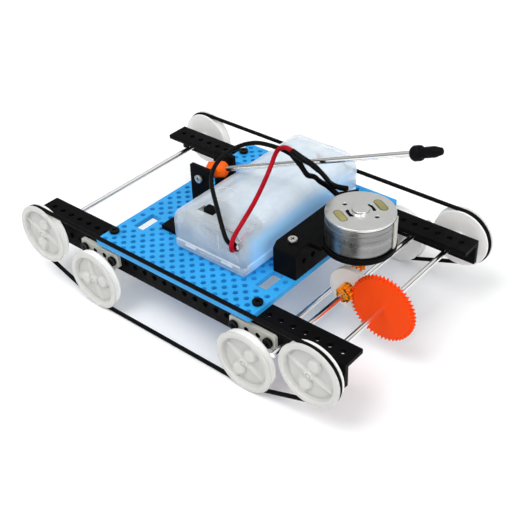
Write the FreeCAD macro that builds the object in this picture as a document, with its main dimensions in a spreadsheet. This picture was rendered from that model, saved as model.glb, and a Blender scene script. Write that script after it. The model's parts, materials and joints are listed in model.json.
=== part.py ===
import FreeCAD, Part
import math
import os
import Sketcher
from FreeCAD import Placement, Rotation, Vector

# Small battery-driven tracked car: two perforated angle rails, a perforated deck, eight pulley
# wheels with two round belts, a geared motor, a battery box and a barrel on a tilting bracket.
# Frame: +X is forward (motor end), +Y is the car's left, +Z is up. The origin lies on the ground,
# midway between the four corner wheels.

doc = FreeCAD.newDocument("tracked_car")
sheet = doc.addObject("Spreadsheet::Sheet", "sizes")
nodes = []
cell_count = 0


class Size:
    """A number together with the spreadsheet formula that gives it."""

    def __init__(self, number, formula):
        self.number = number
        self.formula = formula

    def join(self, sign, number, other, swapped=False):
        left, right = (text_of(other), self.formula) if swapped else (self.formula, text_of(other))
        return Size(number, f"({left} {sign} {right})")

    def __add__(self, other):
        return self.join("+", self.number + number_of(other), other)

    def __radd__(self, other):
        return self.join("+", number_of(other) + self.number, other, True)

    def __sub__(self, other):
        return self.join("-", self.number - number_of(other), other)

    def __rsub__(self, other):
        return self.join("-", number_of(other) - self.number, other, True)

    def __mul__(self, other):
        return self.join("*", self.number * number_of(other), other)

    def __rmul__(self, other):
        return self.join("*", number_of(other) * self.number, other, True)

    def __truediv__(self, other):
        return self.join("/", self.number / number_of(other), other)

    def __neg__(self):
        return Size(-self.number, f"(-1 * {self.formula})")


def number_of(value):
    return value.number if isinstance(value, Size) else float(value)


def text_of(value):
    return value.formula if isinstance(value, Size) else repr(float(value))


def cell(alias, number, note):
    """Write one driving size to the sheet."""
    global cell_count
    cell_count += 1
    sheet.set(f"A{cell_count}", note)
    sheet.set(f"B{cell_count}", str(number))
    sheet.setAlias(f"B{cell_count}", alias)
    return Size(float(number), "sizes." + alias)


# ---------------------------------------------------------------- driving sizes, in millimetres

pitch = cell("pitch", 5, "spacing of the hole grid")
rail_length = cell("rail_length", 149, "length of an angle rail")
rail_leg = cell("rail_leg", 10, "width of each leg of a rail")
rail_wall = cell("rail_wall", 2, "thickness of a rail's legs")
rail_hole = cell("rail_hole", 2.1, "bore of the holes in rails and hangers")
running_gap = cell("running_gap", 0.05, "radial running clearance of a bearing")
screw_play = cell("screw_play", 0.1, "radial clearance of a screw in a rail's hole")
rail_end_margin = cell("rail_end_margin", 4, "least distance from a rail's end to a hole")
half_gauge = cell("half_gauge", 37.5, "from the centre plane to a rail's row of top holes")
deck_length = cell("deck_length", 75, "deck, along the car")
deck_overhang = cell("deck_overhang", 7.5, "from the rails' top holes out to the deck's edge")
deck_thick = cell("deck_thick", 2, "thickness of the deck")
deck_edge = cell("deck_edge", 2.5, "least distance from the deck's edge to a hole's middle")
deck_corner = cell("deck_corner", 1, "corner radius of the deck")
slot_width = cell("slot_width", 5, "deck slot, along the car")
slot_length = cell("slot_length", 10, "deck slot, across the car")
slot_out = cell("slot_out", 30, "from the centre to a slot's middle, along the car")
slot_side = cell("slot_side", 25, "from the centre to a slot's middle, across the car")
hanger_thick = cell("hanger_thick", 1.5, "thickness of a hanger plate")
hanger_holes = cell("hanger_holes", 4, "holes along a hanger's strip")
hanger_height = cell("hanger_height", 6, "height of a hanger's strip")
hanger_out = cell("hanger_out", 37.5, "from the centre to a hanger's middle")
hanger_drop = cell("hanger_drop", 10, "from the rail's side holes down to the lower axle")
hanger_end = cell("hanger_end", 4, "radius of a hanger's lower end")
wheel_dia = cell("wheel_dia", 24.5, "outer diameter of a wheel")
wheel_width = cell("wheel_width", 4, "width of a wheel's rim")
wheel_gap = cell("wheel_gap", 0.5, "from a hanger's face to a wheel's hub")
hub_stand = cell("hub_stand", 1.2, "how far a hub stands in from the rim")
axle_out = cell("axle_out", 65, "from the centre to the end axles")
axle_sink = cell("axle_sink", 0.5, "from a wheel's outer face in to the axle's end")
belt_dia = cell("belt_dia", 1.6, "diameter of the round belt")
belt_inset = cell("belt_inset", 0.95, "from a wheel's rim in to the belt's centre line")
belt_gap = cell("belt_gap", 0.15, "clearance between belt and groove")
drive_teeth = cell("drive_teeth", 50, "teeth of the drive gear")
lay_teeth = cell("lay_teeth", 10, "teeth of the layshaft pinion")
crown_teeth = cell("crown_teeth", 32, "teeth of the crown gear")
motor_teeth = cell("motor_teeth", 8, "teeth of the motor pinion")
gear_pitches = cell("gear_pitches", 3, "hole pitches between layshaft and front axle")
gear_width = cell("gear_width", 2, "width of the drive gear")
pinion_width = cell("pinion_width", 4, "width of the layshaft pinion")
motor_pinion_length = cell("motor_pinion_length", 6.5, "length of the motor pinion")
drive_gap = cell("drive_gap", 0.4, "from the drive gear to the crown gear's back")
pinion_overlap = cell("pinion_overlap", 1.7, "how far the layshaft pinion stands out past the drive gear")
crown_back = cell("crown_back", 3.1, "from the crown teeth's pitch line back to the gear's back face")
crown_inside = cell("crown_inside", 0.7, "how far the crown teeth reach in from the pitch radius")
crown_outside = cell("crown_outside", 0.5, "how far the crown teeth reach out from the pitch radius")
can_dia = cell("can_dia", 24.4, "diameter of the motor can")
can_height = cell("can_height", 12.65, "height of the motor can")
can_wall = cell("can_wall", 0.8, "wall of the motor can")
can_seat = cell("can_seat", 0.8, "depth of the can's seat in its ring")
ring_wall = cell("ring_wall", 0.8, "wall of the motor ring beside the can")
ring_thick = cell("ring_thick", 2, "thickness of the motor ring")
motor_shaft_dia = cell("motor_shaft_dia", 1.5, "diameter of the motor shaft")
holder_depth = cell("holder_depth", 10, "motor holder block, along the car")
holder_width = cell("holder_width", 40, "motor holder block, across the car")
holder_height = cell("holder_height", 12, "height of the motor holder block")
holder_bevel = cell("holder_bevel", 2, "bevel on the block's top ends")
holder_screw_side = cell("holder_screw_side", 15, "from the centre plane to a holder screw")
box_clear = cell("box_clear", 4.5, "from the battery box to the motor holder")
box_near = cell("box_near", -30.3, "near face of the battery box")
tray_height = cell("tray_height", 4.5, "height of the battery tray")
box_wall = cell("box_wall", 1.2, "wall of the battery box")
box_round = cell("box_round", 7, "radius along the lid's long top edges")
cell_dia = cell("cell_dia", 14.5, "diameter of a battery cell")
cell_length = cell("cell_length", 50.5, "length of a battery cell")
cell_gap = cell("cell_gap", 0.3, "clearance beside and below a cell")
side_room = cell("side_room", 0.6, "further room between a cell and the box's side")
top_room = cell("top_room", 1.3, "room above the cells")
switch_bay = cell("switch_bay", 11.9, "length of the bay for the switch")
contact_thick = cell("contact_thick", 0.4, "thickness of a contact plate")
spring_depth = cell("spring_depth", 2, "depth of a pressed contact spring")
knob_length = cell("knob_length", 4, "switch knob, along its travel")
knob_width = cell("knob_width", 3, "switch knob, across its travel")
knob_travel = cell("knob_travel", 2.5, "travel of the switch knob")
knob_stand = cell("knob_stand", 1.4, "how far the knob stands above the lid")
switch_near = cell("switch_near", 5.3, "from the box's near face to the switch's middle")
lead_hole = cell("lead_hole", 5, "bore of the lead hole in the lid")
base_length = cell("base_length", 35, "gun base strip, across the car")
base_near = cell("base_near", -25, "near end of the gun base strip")
base_width = cell("base_width", 10, "gun base strip and bracket, along the car")
base_thick = cell("base_thick", 2, "thickness of the base strip and the bracket")
base_clear = cell("base_clear", 2, "from the gun base strip to the battery box")
cheek_gap = cell("cheek_gap", 2.2, "from the bush's flats to a cheek")
bracket_top = cell("bracket_top", 18, "from the base strip up to the bracket's top")
pivot_drop = cell("pivot_drop", 4.4, "from the bracket's top down to the pivot")
bush_flats = cell("bush_flats", 6.6, "across the flats of the gun's bush")
bush_back = cell("bush_back", 3.6, "from the pivot back to the bush's rear end")
bush_front = cell("bush_front", 7.6, "from the pivot forward to the bush's nose")
bush_nose = cell("bush_nose", 2.6, "length of the bush's tapered nose")
barrel_dia = cell("barrel_dia", 2, "diameter of the barrel rod")
barrel_reach = cell("barrel_reach", 101, "from the pivot to the barrel's front end")
barrel_start = cell("barrel_start", 2.4, "from the pivot to the barrel's rear end")
barrel_tilt = cell("barrel_tilt", 23, "barrel's angle above level, in degrees")
muzzle_collar = cell("muzzle_collar", 4, "length of the muzzle's collar")
muzzle_length = cell("muzzle_length", 11, "whole length of the rubber muzzle")
muzzle_nose = cell("muzzle_nose", 1.8, "length of the muzzle's tapered nose")
muzzle_stand = cell("muzzle_stand", 3, "how far the muzzle stands past the barrel's end")
screw_head = cell("screw_head", 3.9, "head diameter of the small screws")
head_height = cell("head_height", 1.3, "head height of the small screws")
nut_flats = cell("nut_flats", 4, "across the flats of the nuts")
nut_thick = cell("nut_thick", 1.6, "thickness of the nuts")
lead_dia = cell("lead_dia", 1.6, "diameter of a lead")
sleeve_dia = cell("sleeve_dia", 2.3, "diameter of a lead's sleeve")
doc.recompute()

# ---------------------------------------------------------------- places worked out from the sizes

def on_grid(distance, offset):
    """The furthest hole place within a distance from the centre, in whole pitches plus an offset."""
    steps = distance / pitch - offset + ROUND_OFF
    return (Size(math.floor(steps.number), f"floor({steps.formula})") + offset) * pitch


ROUND_OFF = 1e-6

axle_dia = rail_hole - 2 * running_gap
screw_shank = rail_hole - 2 * screw_play
deck_hole = screw_shank + 2 * running_gap
low_axle_z = wheel_dia / 2
high_axle_z = low_axle_z + hanger_drop
rail_top = high_axle_z + rail_leg / 2
rail_face = half_gauge + rail_leg / 2
deck_top = rail_top + deck_thick
deck_width = 2 * (half_gauge + deck_overhang)
hanger_length = hanger_holes * pitch
hanger_face = rail_face + hanger_thick
rim_inner = hanger_face + wheel_gap + hub_stand
rim_outer = rim_inner + wheel_width
belt_side = rim_inner + wheel_width / 2
belt_radius = wheel_dia / 2 - belt_inset
groove_radius = belt_radius - belt_dia / 2 - belt_gap
gear_distance = gear_pitches * pitch
end_axle = on_grid(axle_out, 0)
hanger_middle = on_grid(hanger_out, 0.5)
deck_screw_out = on_grid(deck_length / 2 - deck_edge, 0)
layshaft_out = end_axle - gear_distance
gear_module = 2 * gear_distance / (drive_teeth + lay_teeth)
crown_module = gear_module
motor_pitch_radius = crown_module * motor_teeth / 2
crown_pitch_radius = crown_module * crown_teeth / 2
crown_inner = crown_pitch_radius - crown_inside
crown_outer = crown_pitch_radius + crown_outside
crown_side = -(motor_pitch_radius + crown_back)
drive_gear_side = crown_side - drive_gap - gear_width
lay_pinion_side = drive_gear_side - pinion_overlap
ring_dia = can_dia + 2 * ring_wall
holder_front = deck_length / 2
holder_rear = holder_front - holder_depth
holder_top = deck_top + holder_height
ring_bottom = holder_top - ring_thick
can_bottom = holder_top - can_seat
can_top = can_bottom + can_height
box_width = 2 * (cell_dia + side_room + box_wall) + 3 * cell_gap
box_length = 3 * box_wall + 2 * contact_thick + spring_depth + cell_length + switch_bay
box_height = 2 * box_wall + cell_gap + cell_dia + top_room
box_front = holder_rear - box_clear
box_rear = box_front - box_width
box_far = box_near + box_length
tray_top = deck_top + tray_height
lid_top = deck_top + box_height
bracket_out = box_rear - base_clear - base_width / 2
bracket_width = bush_flats + 2 * (cheek_gap + base_thick)
base_top = deck_top + base_thick
pivot_z = base_top + bracket_top - pivot_drop

UPRIGHT = Rotation()
ALONG_X = Rotation(Vector(0, 1, 0), 90)
ALONG_Y = Rotation(Vector(1, 0, 0), -90)
DOWN = Rotation(Vector(1, 0, 0), 180)
TOWARDS_NEAR = Rotation(Vector(1, 0, 0), 90)
HALF_SQUARE = Rotation(Vector(1, 0, 0), 45)


# ---------------------------------------------------------------- small helpers

def bind(item, path, value):
    item.setExpression(path, text_of(value))


def place(item, x, y, z, turn=UPRIGHT):
    """Put an object at formula-bound coordinates, turned by a fixed rotation."""
    item.Placement = Placement(Vector(), turn)
    for axis, distance in zip("xyz", (x, y, z)):
        bind(item, "Placement.Base." + axis, distance)
    return item


def keep(item, label):
    """Make an object a sub-part of the car."""
    item.Label = label
    nodes.append(item)
    return item


def box(name, corner, sides, turn=UPRIGHT):
    item = doc.addObject("Part::Box", name)
    for path, side in zip(("Length", "Width", "Height"), sides):
        bind(item, path, side)
    return place(item, *corner, turn)


def cylinder(name, radius, length, start, turn=UPRIGHT):
    item = doc.addObject("Part::Cylinder", name)
    bind(item, "Radius", radius)
    bind(item, "Height", length)
    return place(item, *start, turn)


def cone(name, radius_from, radius_to, length, start, turn=UPRIGHT):
    item = doc.addObject("Part::Cone", name)
    bind(item, "Radius1", radius_from)
    bind(item, "Radius2", radius_to)
    bind(item, "Height", length)
    return place(item, *start, turn)


def prism(name, flats, length, start, turn=UPRIGHT):
    """A six-sided bar, sized across its flats."""
    item = doc.addObject("Part::Prism", name)
    item.Polygon = 6
    bind(item, "Circumradius", flats / (2 * math.cos(math.pi / 6)))
    bind(item, "Height", length)
    return place(item, *start, turn)


def fuse(name, *shapes):
    item = doc.addObject("Part::MultiFuse", name)
    item.Shapes = list(shapes)
    item.Refine = True
    return item


def cut(name, base, *tools):
    item = doc.addObject("Part::Cut", name)
    item.Base = base
    item.Tool = tools[0] if len(tools) == 1 else fuse(name + "_tools", *tools)
    return item


def common(name, first, second):
    item = doc.addObject("Part::Common", name)
    item.Base = first
    item.Tool = second
    return item


def group(name, shapes):
    """Several separate solids that make one sub-part, such as a set of screws."""
    item = doc.addObject("Part::Compound", name)
    item.Links = list(shapes)
    return item


def body_for(label):
    return keep(doc.addObject("PartDesign::Body", label), label)


def plane_of(body, role):
    return next(item for item in body.Origin.OriginFeatures if item.Role == role)


def sketch_on(body, role, name, offset=0):
    """A sketch on one of the body's own origin planes, moved along the plane's normal."""
    sketch = body.newObject("Sketcher::SketchObject", name)
    sketch.AttachmentSupport = [(plane_of(body, role), "")]
    sketch.MapMode = "FlatFace"
    bind(sketch, "AttachmentOffset.Base.z", offset)
    return sketch


def pin_point(sketch, curve, point, x, y):
    """Tie one point of a curve to the sketch's origin by two formula-bound distances."""
    for kind, distance in (("DistanceX", x), ("DistanceY", y)):
        index = sketch.addConstraint(Sketcher.Constraint(kind, curve, point, number_of(distance)))
        bind(sketch, f"Constraints[{index}]", distance)


def outline(sketch, corners):
    """A closed outline of straight edges whose corners are all formula-bound."""
    spots = [Vector(number_of(x), number_of(y), 0) for x, y in corners]
    first = sketch.GeometryCount
    for index, spot in enumerate(spots):
        sketch.addGeometry(Part.LineSegment(spot, spots[(index + 1) % len(spots)]), False)
    for index, (x, y) in enumerate(corners):
        following = first + (index + 1) % len(spots)
        sketch.addConstraint(Sketcher.Constraint("Coincident", first + index, 2, following, 1))
        pin_point(sketch, first + index, 1, x, y)


def circle(sketch, x, y, radius):
    spot = Vector(number_of(x), number_of(y), 0)
    curve = sketch.addGeometry(Part.Circle(spot, Vector(0, 0, 1), number_of(radius)), False)
    pin_point(sketch, curve, 3, x, y)
    index = sketch.addConstraint(Sketcher.Constraint("Radius", curve, number_of(radius)))
    bind(sketch, f"Constraints[{index}]", radius)


def pad(body, sketch, length, name, backwards=False):
    feature = body.newObject("PartDesign::Pad", name)
    feature.Profile = sketch
    bind(feature, "Length", length)
    feature.Reversed = backwards
    return feature


def pocket_through(body, sketch, name):
    feature = body.newObject("PartDesign::Pocket", name)
    feature.Profile = sketch
    feature.Type = "ThroughAll"
    feature.Midplane = True
    return feature


def repeat_in_line(body, feature, role, span, count, name):
    """Repeat a feature along one of the body's origin axes, over a span, count times."""
    pattern = body.newObject("PartDesign::LinearPattern", name)
    pattern.Originals = [feature]
    pattern.Direction = (plane_of(body, role), [""])
    bind(pattern, "Length", span)
    bind(pattern, "Occurrences", count)
    body.Tip = pattern
    return pattern


# ---------------------------------------------------------------- frame: rails, deck, hangers

last_hole = on_grid(rail_length / 2 - rail_end_margin, 0)
hole_span = 2 * last_hole
hole_count = hole_span / pitch + 1


def rail(label, side):
    """An angle rail: one leg flat on top, one leg down its outer face, both perforated."""
    body = body_for(label)
    profile = sketch_on(body, "YZ_Plane", label + "_profile", -rail_length / 2)
    outer = side * rail_face
    top_inner = side * (rail_face - rail_leg)
    leg_inner = side * (rail_face - rail_wall)
    low = rail_top - rail_leg
    under = rail_top - rail_wall
    outline(profile, [(outer, rail_top), (outer, low), (leg_inner, low), (leg_inner, under),
                      (top_inner, under), (top_inner, rail_top)])
    pad(body, profile, rail_length, label + "_angle")
    for role, name, second in (("XY_Plane", "top", side * half_gauge), ("XZ_Plane", "side", high_axle_z)):
        sketch = sketch_on(body, role, f"{label}_{name}_hole")
        circle(sketch, -last_hole, second, rail_hole / 2)
        holes = body.newObject("PartDesign::Pocket", f"{label}_{name}_bore")
        holes.Profile = sketch
        holes.Type = "Length"
        bind(holes, "Length", 2 * (rail_top + rail_face))
        holes.Midplane = True
        repeat_in_line(body, holes, "X_Axis", hole_span, hole_count, f"{label}_{name}_row")


rail("rail_right", -1)
rail("rail_left", 1)


WEB = 0.8
base_screw_sides = (-4 * pitch, 0 * pitch)
holder_screw_out = holder_rear + holder_depth / 2
deck_fasteners = ([(end * deck_screw_out, side * half_gauge) for end in (-1, 1) for side in (-1, 1)]
                  + [(holder_screw_out, side * holder_screw_side) for side in (-1, 1)]
                  + [(bracket_out, side) for side in base_screw_sides])


def deck():
    """The deck: a thin plate with a square hole grid, a second grid between, and four slots."""
    length, width, thick = number_of(deck_length), number_of(deck_width), number_of(deck_thick)
    step, radius = number_of(pitch), number_of(deck_hole) / 2
    slot_half = Vector(number_of(slot_width) / 2, number_of(slot_length) / 2, 0)
    slots = [Vector(sx * number_of(slot_out), sy * number_of(slot_side), 0)
             for sx in (-1, 1) for sy in (-1, 1)]
    plate = Part.makeBox(length, width, thick, Vector(-length / 2, -width / 2, 0))
    corners = [edge for edge in plate.Edges if abs(edge.tangentAt(edge.FirstParameter).z) > 0.5]
    plate = plate.makeFillet(number_of(deck_corner), corners)
    openings = []
    for slot in slots:
        low = slot - slot_half
        openings.append(Part.makeBox(2 * slot_half.x, 2 * slot_half.y, thick, low))
    used = [Vector(number_of(x), number_of(y), 0) for x, y in deck_fasteners]
    margin = radius + WEB
    reach = Vector(length / 2, width / 2, 0) - Vector(1, 1, 0) * (number_of(deck_edge) - ROUND_OFF)

    def clear(spot):
        return (all(abs(spot.x - slot.x) > slot_half.x + margin or abs(spot.y - slot.y) > slot_half.y + margin
                    for slot in slots)
                and all(spot.distanceToPoint(other) > margin + radius for other in used))

    row = number_of(half_gauge)
    across = math.ceil(2 * width / step)
    along = math.ceil(length / step)
    grid = [Vector(column * step / 2, row + line * step / 2, 0)
            for column in range(-along, along + 1) for line in range(-across, across + 1)
            if (column + line) % 2 == 0]
    inside = [spot for spot in grid if abs(spot.x) <= reach.x and abs(spot.y) <= reach.y]
    for spot in used + [spot for spot in inside if clear(spot)]:
        openings.append(Part.makeCylinder(radius, thick, spot))
    item = doc.addObject("Part::Feature", "base_plate")
    item.Shape = plate.cut(Part.makeCompound(openings))
    place(item, 0, 0, rail_top)
    return keep(item, "base_plate")


deck()


def hanger(label, along, side):
    """A hanger plate: a strip of four holes with a tapered tongue that carries a lower axle."""
    body = body_for(label)
    strip_top = hanger_height / 2
    half = hanger_length / 2
    bevel = hanger_height / 4
    shoulder = hanger_length * 0.35
    sketch = sketch_on(body, "XZ_Plane", label + "_outline")
    outline(sketch, [(-half, bevel), (bevel - half, strip_top), (half - bevel, strip_top), (half, bevel),
                     (half, -bevel), (half - bevel, -strip_top), (shoulder, -strip_top),
                     (hanger_end, -hanger_drop), (-hanger_end, -hanger_drop), (-shoulder, -strip_top),
                     (bevel - half, -strip_top), (-half, -bevel)])
    pad(body, sketch, hanger_thick, label + "_plate", backwards=side > 0)
    round_end = sketch_on(body, "XZ_Plane", label + "_round_end")
    circle(round_end, 0, -hanger_drop, hanger_end)
    pad(body, round_end, hanger_thick, label + "_end", backwards=side > 0)
    holes = sketch_on(body, "XZ_Plane", label + "_holes")
    for step in (-1.5, -0.5, 0.5, 1.5):
        circle(holes, step * pitch, 0, rail_hole / 2)
    circle(holes, 0, -hanger_drop, rail_hole / 2)
    body.Tip = pocket_through(body, holes, label + "_bores")
    place(body, along, side * rail_face, high_axle_z)


for end, end_name in ((-1, "rear"), (1, "front")):
    for side, side_name in ((-1, "right"), (1, "left")):
        hanger(f"hanger_{end_name}_{side_name}", end * hanger_middle, side)


# ---------------------------------------------------------------- fasteners

def screw(name, head_radius, shank_length, start, turn):
    """A pan-head screw with a cross recess; start is under the head, the turn points its shank."""
    away = turn.multVec(Vector(0, 0, -1))
    shank = cylinder(name + "_shank", screw_shank / 2, shank_length, start, turn)
    head_start = [spot + direction * head_height for spot, direction in zip(start, away)]
    head = cylinder(name + "_head", head_radius, head_height, head_start, turn)
    rim = doc.addObject("Part::Chamfer", name + "_rim")
    rim.Base = head
    rim.Edges = [(3, number_of(head_height) * 0.3, number_of(head_radius) * 0.25)]
    return fuse(name, shank, rim)


def recess(name, start, turn, size):
    """The cross recess of a screw, cut down from the top of its head."""
    bars = []
    for index, (wide, deep) in enumerate(((1.0, 0.22), (0.22, 1.0))):
        bar = doc.addObject("Part::Box", f"{name}_bar{index}")
        bind(bar, "Length", size * wide)
        bind(bar, "Width", size * deep)
        bind(bar, "Height", head_height * 0.6)
        shift = turn.multVec(Vector(-number_of(size) * wide / 2, -number_of(size) * deep / 2, 0))
        bars.append(place(bar, start[0] + shift.x, start[1] + shift.y, start[2] + shift.z, turn))
    return fuse(name, *bars)


def cross_screw(name, head_radius, shank_length, start, turn):
    away = turn.multVec(Vector(0, 0, -1))
    top = [spot + direction * head_height for spot, direction in zip(start, away)]
    body = screw(name + "_body", head_radius, shank_length, start, turn)
    return cut(name, body, recess(name + "_recess", top, turn, head_radius * 1.1))


def nut(name, start, turn):
    hexagon = prism(name + "_hexagon", nut_flats, nut_thick, start, turn)
    bore = cylinder(name + "_bore", screw_shank / 2 + running_gap, nut_thick, start, turn)
    return cut(name, hexagon, bore)


black_screws = []
bright_screws = []
nuts = []
for end in (-1, 1):
    for side in (-1, 1):
        tag = f"{'rear' if end < 0 else 'front'}_{'right' if side < 0 else 'left'}"
        spot = (end * deck_screw_out, side * half_gauge)
        length = deck_thick + rail_wall + nut_thick + 0.6
        black_screws.append(cross_screw("deck_screw_" + tag, screw_head / 2, length,
                                        (*spot, deck_top), DOWN))
        nuts.append(nut("deck_nut_" + tag, (*spot, rail_top - rail_wall - nut_thick), UPRIGHT))

for end in (-1, 1):
    for side in (-1, 1):
        for step in (-1.5, 1.5):
            tag = f"{'r' if end < 0 else 'f'}{'r' if side < 0 else 'l'}{'a' if step < 0 else 'b'}"
            along = end * hanger_middle + step * pitch
            length = hanger_thick + rail_wall + nut_thick + 0.6
            inward = ALONG_Y if side < 0 else TOWARDS_NEAR
            black_screws.append(cross_screw("hanger_screw_" + tag, screw_head / 2, length,
                                            (along, side * hanger_face, high_axle_z), inward))
            nuts.append(nut("hanger_nut_" + tag,
                            (along, side * (rail_face - rail_wall), high_axle_z), inward))
keep(group("black_screw_set", black_screws), "black_screws")


# ---------------------------------------------------------------- axles, wheels and belts

AXLES = (("axle_rear_upper", -end_axle, high_axle_z), ("axle_rear_lower", -hanger_middle, low_axle_z),
         ("axle_front_lower", hanger_middle, low_axle_z), ("axle_front_upper", end_axle, high_axle_z))
axle_end = rim_outer - axle_sink
for label, along, height in AXLES:
    keep(cylinder(label, axle_dia / 2, 2 * axle_end, (along, -axle_end, height), ALONG_Y), label)
lay_end = rim_outer - 2.4 * axle_sink
keep(cylinder("layshaft", axle_dia / 2, 2 * lay_end, (layshaft_out, -lay_end, high_axle_z), ALONG_Y),
     "layshaft")


def wheel(label, along, side, height):
    """A pulley wheel: grooved rim, recessed web with four ribs and two bosses, and a hub."""
    rim = wheel_dia / 2
    lip = wheel_width * 0.175
    groove = wheel_width * 0.325
    web_out = wheel_width * 0.325
    web_in = wheel_width * 0.625
    body = body_for(label)
    profile = sketch_on(body, "XY_Plane", label + "_profile")
    bore = axle_dia / 2
    hub = axle_dia * 1.3
    recess_lip = groove_radius - 0.15
    recess_root = groove_radius - 1.05
    outline(profile, [(bore, lip / 2), (hub, lip / 2), (hub, web_out), (recess_root, web_out),
                      (recess_lip, 0), (rim, 0), (rim, lip), (groove_radius, groove),
                      (groove_radius, wheel_width - groove), (rim - lip / 5, wheel_width - lip),
                      (rim - lip / 5, wheel_width), (recess_root + 0.3, wheel_width),
                      (recess_root, web_in), (hub, web_in), (hub, wheel_width + hub_stand),
                      (bore, wheel_width + hub_stand)])
    turned = body.newObject("PartDesign::Revolution", label + "_turned")
    turned.Profile = profile
    turned.ReferenceAxis = (plane_of(body, "Y_Axis"), [""])
    turned.Angle = 360
    arm = groove_radius - 0.9
    thin = axle_dia / 4
    for number, (wide, tall) in enumerate(((arm, thin), (thin, arm))):
        rib = sketch_on(body, "XZ_Plane", f"{label}_rib{number}", -web_in)
        outline(rib, [(bore + thin, -tall), (wide, -tall), (wide, tall), (bore + thin, tall)]
                if number == 0 else
                [(-wide, bore + thin), (wide, bore + thin), (wide, tall), (-wide, tall)])
        pad(body, rib, web_in - lip, f"{label}_rib_pad{number}")
        rib = sketch_on(body, "XZ_Plane", f"{label}_rib_back{number}", -web_in)
        outline(rib, [(-bore - thin, -tall), (-wide, -tall), (-wide, tall), (-bore - thin, tall)]
                if number == 0 else
                [(-wide, -bore - thin), (wide, -bore - thin), (wide, -tall), (-wide, -tall)])
        pad(body, rib, web_in - lip, f"{label}_rib_back_pad{number}")
    bosses = sketch_on(body, "XZ_Plane", label + "_bosses", -web_in)
    for sign in (-1, 1):
        circle(bosses, sign * groove_radius * 0.31, sign * groove_radius * 0.31, axle_dia * 0.75)
    body.Tip = pad(body, bosses, web_in - lip, label + "_boss_pads")
    turn = UPRIGHT if side < 0 else Rotation(Vector(0, 0, 1), 180)
    place(body, along, side * rim_outer, height, turn)


for label, along, height in AXLES:
    for side, side_name in ((-1, "right"), (1, "left")):
        wheel(label.replace("axle", "wheel") + "_" + side_name, along, side, height)


def belt(label, side):
    """A round belt drawn tight round the four wheels of one side."""
    radius = number_of(belt_radius)
    centres = [Vector(number_of(along), 0, number_of(height)) for _, along, height in AXLES]
    loop = [centres[0], centres[3], centres[2], centres[1]]
    tangents = []
    for here, there in zip(loop, loop[1:] + loop[:1]):
        run = (there - here).normalize()
        outward = Vector(-run.z, 0, run.x)
        tangents.append((here + outward * radius, there + outward * radius))
    edges = []
    for index, (start, end) in enumerate(tangents):
        edges.append(Part.LineSegment(start, end).toShape())
        centre = loop[(index + 1) % 4]
        following = tangents[(index + 1) % 4][0]
        middle = centre + ((end - centre) + (following - centre)).normalize() * radius
        edges.append(Part.Arc(end, middle, following).toShape())
    path = Part.Wire(edges)
    thick = number_of(belt_dia) / 2
    start = edges[0].valueAt(edges[0].FirstParameter)
    heading = edges[0].tangentAt(edges[0].FirstParameter)
    section = Part.Wire([Part.makeCircle(thick, start, heading)])
    item = doc.addObject("Part::Feature", label)
    item.Shape = path.makePipeShell([section], True, True)
    place(item, 0, side * belt_side, 0)
    expected = math.pi * thick ** 2 * path.Length
    print(f"{label}: length {path.Length:.2f}, volume {item.Shape.Volume:.2f} of {expected:.2f}")
    return keep(item, label)


belt("belt_right", -1)
belt("belt_left", 1)


# ---------------------------------------------------------------- gears

PRESSURE_ANGLE = math.radians(20)


def gear(label, teeth, shift, module, backlash, bore, width, hub, start, turn):
    """A spur gear with involute teeth; the first tooth gap or tooth is set by its placement."""
    count = round(number_of(teeth))
    size = number_of(module)
    pitch_radius = size * count / 2
    base_radius = pitch_radius * math.cos(PRESSURE_ANGLE)
    tip_radius = pitch_radius + size * (1 + shift)
    root_radius = pitch_radius - size * (1.25 - shift)
    thickness = size * (math.pi / 2 + 2 * shift * math.tan(PRESSURE_ANGLE)) - backlash
    flank_start = max(root_radius, base_radius)

    def half_angle(radius):
        if radius <= base_radius:
            radius = base_radius
        angle = math.acos(base_radius / radius)
        involute = math.tan(angle) - angle
        return thickness / (2 * pitch_radius) + math.tan(PRESSURE_ANGLE) - PRESSURE_ANGLE - involute

    def spot(radius, angle):
        return Vector(radius * math.cos(angle), radius * math.sin(angle), 0)

    edges = []
    for tooth in range(count):
        middle = 2 * math.pi * tooth / count
        following = 2 * math.pi * (tooth + 1) / count
        centre_radius = (flank_start + tip_radius) / 2
        rise = [spot(r, middle - half_angle(r)) for r in (flank_start, centre_radius, tip_radius)]
        fall = [spot(r, middle + half_angle(r)) for r in (tip_radius, centre_radius, flank_start)]
        root_half = half_angle(flank_start)
        foot_in = spot(root_radius, middle - root_half)
        foot_out = spot(root_radius, middle + root_half)
        foot_next = spot(root_radius, following - root_half)
        if flank_start > root_radius:
            edges.append(Part.LineSegment(foot_in, rise[0]).toShape())
        edges.append(Part.Arc(*rise).toShape())
        edges.append(Part.Arc(rise[2], spot(tip_radius, middle), fall[0]).toShape())
        edges.append(Part.Arc(*fall).toShape())
        if flank_start > root_radius:
            edges.append(Part.LineSegment(fall[2], foot_out).toShape())
        valley = spot(root_radius, (middle + following) / 2)
        edges.append(Part.Arc(foot_out, valley, foot_next).toShape())
    face = Part.Face(Part.Wire(edges))
    solid = face.extrude(Vector(0, 0, number_of(width)))
    if hub is not None:
        hub_radius, hub_length = hub
        solid = solid.fuse(Part.makeCylinder(number_of(hub_radius), number_of(hub_length))).removeSplitter()
    hole = Part.makeCylinder(number_of(bore) / 2, 100, Vector(0, 0, -50))
    item = doc.addObject("Part::Feature", label)
    item.Shape = solid.cut(hole)
    place(item, *start, turn)
    return keep(item, label)


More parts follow.
